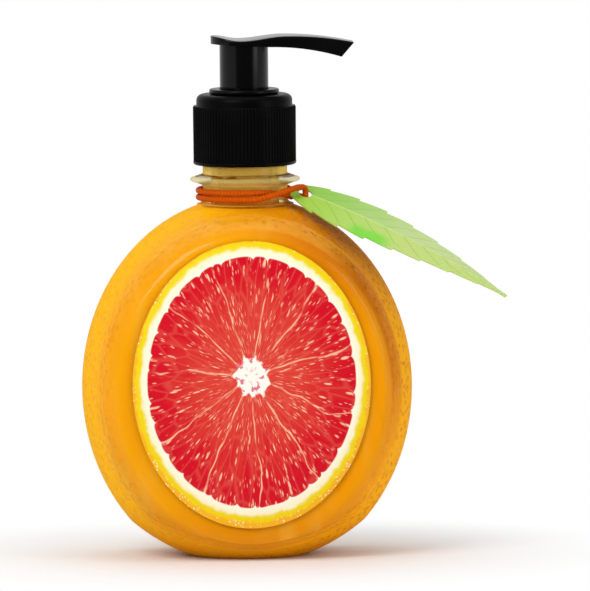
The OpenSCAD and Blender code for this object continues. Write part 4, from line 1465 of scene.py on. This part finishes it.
class SOAP_OT_stage(bpy.types.Operator):
    """Pale floor, soft studio light and the camera"""

    bl_idname = "soap_bottle.stage"
    bl_label = "Studio Stage"

    def floor(self):
        """A pale floor that shows white away from the bottle; in front of it, reflections see it dark."""
        side = FLOOR_HALF
        corners = [(-side, -side, 0), (side, -side, 0), (side, side, 0), (-side, side, 0)]
        floor = mesh_object("floor", corners, [(0, 1, 2, 3)])
        f = Finish("studio_floor")
        where, x, y = f.place()[:3]
        far = f.reach(x, y)
        f.set(base_color=f.mix(f.noise(where, 40), tone(247, 247, 246), tone(250, 250, 249)), roughness=0.7)
        path = f.node("LightPath").outputs
        seen = f.math("MAXIMUM", path["Is Camera Ray"], path["Is Glossy Ray"])
        seen = f.math("MAXIMUM", seen, path["Is Transmission Ray"])
        dark = f.times(f.step(f.math("DIVIDE", y, far), FRONT_FROM, FRONT_FULL), path["Is Glossy Ray"])
        white = f.node("Emission", {"Strength": f.scaled(dark, FRONT_LEVEL - 1, 1.0)})
        share = f.times(seen, f.rise(far, 45, 140))
        f.put(f.out.inputs["Surface"], f.over(share, f.shader.outputs[0], white.outputs[0]))
        floor.data.materials.append(f.material)

    def world(self, scene):
        """White to the camera, half as bright to the surfaces, and for reflections dark in front."""
        scene.world = bpy.data.worlds.new("studio")
        scene.world.use_nodes = True
        w = Nodes(scene.world.node_tree)
        path = w.node("LightPath").outputs
        back = w.node("SeparateXYZ", {0: w.node("TexCoord").outputs["Generated"]}).outputs["Y"]
        seen = w.math("MAXIMUM", path["Is Camera Ray"], path["Is Transmission Ray"])
        plain = w.ramp(seen, 0, 1, 0.5, 1)
        sides = w.ramp(back, -0.3, 0.6, 0.45, 1)
        mirrored = w.ramp(back, FRONT_FULL, FRONT_FROM, FRONT_LEVEL, sides)
        level = w.node("Mix", {"Factor": path["Is Glossy Ray"], "A": plain, "B": mirrored})
        sky = w.nodes["Background"]
        w.put(sky.inputs["Strength"], level.outputs["Result"])
        w.put(sky.inputs["Color"], (1, 1, 1))

    def lamp(self, name, place, aim, size, power):
        """A soft rectangular lamp that looks at aim."""
        data = bpy.data.lights.new(name, "AREA")
        data.shape = "RECTANGLE"
        data.size, data.size_y = size
        data.energy = power
        lamp = linked(name, data)
        lamp.location = place
        lamp.rotation_euler = (Vector(aim) - Vector(place)).to_track_quat("-Z", "Y").to_euler()

    def camera(self, scene):
        """A far camera at the photograph's viewing angle."""
        settings = scene.soap_stage
        aim = Vector(CAMERA_AIM)
        flat, up = CAMERA_FAR * cos(settings.elevation), CAMERA_FAR * sin(settings.elevation)
        eye = bpy.data.cameras.new("camera")
        eye.sensor_width = SENSOR
        eye.lens = SENSOR * CAMERA_FAR / settings.view_width
        eye.clip_end = 20
        camera = linked("camera", eye)
        camera.location = aim + Vector((flat * sin(settings.azimuth), -flat * cos(settings.azimuth), up))
        look = (aim - camera.location).to_track_quat("-Z", "Y")
        camera.rotation_euler = (look @ Quaternion((0, 0, 1), -settings.roll)).to_euler()
        scene.camera = camera

    def execute(self, context):
        context.scene.view_settings.view_transform = "Standard"
        self.floor()
        self.world(context.scene)
        for lamp in LAMPS:
            self.lamp(*lamp)
        self.camera(context.scene)
        return {"FINISHED"}


class SOAP_PT_panel(bpy.types.Panel):
    """Sizes, colours and steps of the soap bottle"""

    bl_idname = "SOAP_PT_panel"
    bl_label = "Soap Bottle"
    bl_space_type = "VIEW_3D"
    bl_region_type = "UI"
    bl_category = "Soap Bottle"

    def draw(self, context):
        for key, group in GROUPS.items():
            box = self.layout.box()
            for name in group.__annotations__:
                box.prop(getattr(context.scene, key), name)
        for operator in STEPS:
            self.layout.operator(operator.bl_idname)


GROUPS = {
    "soap_soap": SoapSettings,
    "soap_label": LabelSettings,
    "soap_pump": PumpSettings,
    "soap_leaf": LeafSettings,
    "soap_stage": StageSettings,
}
STEPS = (
    SOAP_OT_stage,
    SOAP_OT_loop,
    SOAP_OT_shell,
    SOAP_OT_soap,
    SOAP_OT_label,
    SOAP_OT_leaf,
    SOAP_OT_closure,
    SOAP_OT_head,
    SOAP_OT_pump,
)


def register():
    for key, group in GROUPS.items():
        bpy.utils.register_class(group)
        setattr(bpy.types.Scene, key, bpy.props.PointerProperty(type=group))
    for step in STEPS:
        bpy.utils.register_class(step)
    bpy.utils.register_class(SOAP_PT_panel)


def unregister():
    bpy.utils.unregister_class(SOAP_PT_panel)
    for step in reversed(STEPS):
        bpy.utils.unregister_class(step)
    for key, group in GROUPS.items():
        delattr(bpy.types.Scene, key)
        bpy.utils.unregister_class(group)


def main():
    register()
    for step in STEPS:
        space, name = step.bl_idname.split(".")
        getattr(getattr(bpy.ops, space), name)()


if __name__ == "__main__":
    main()
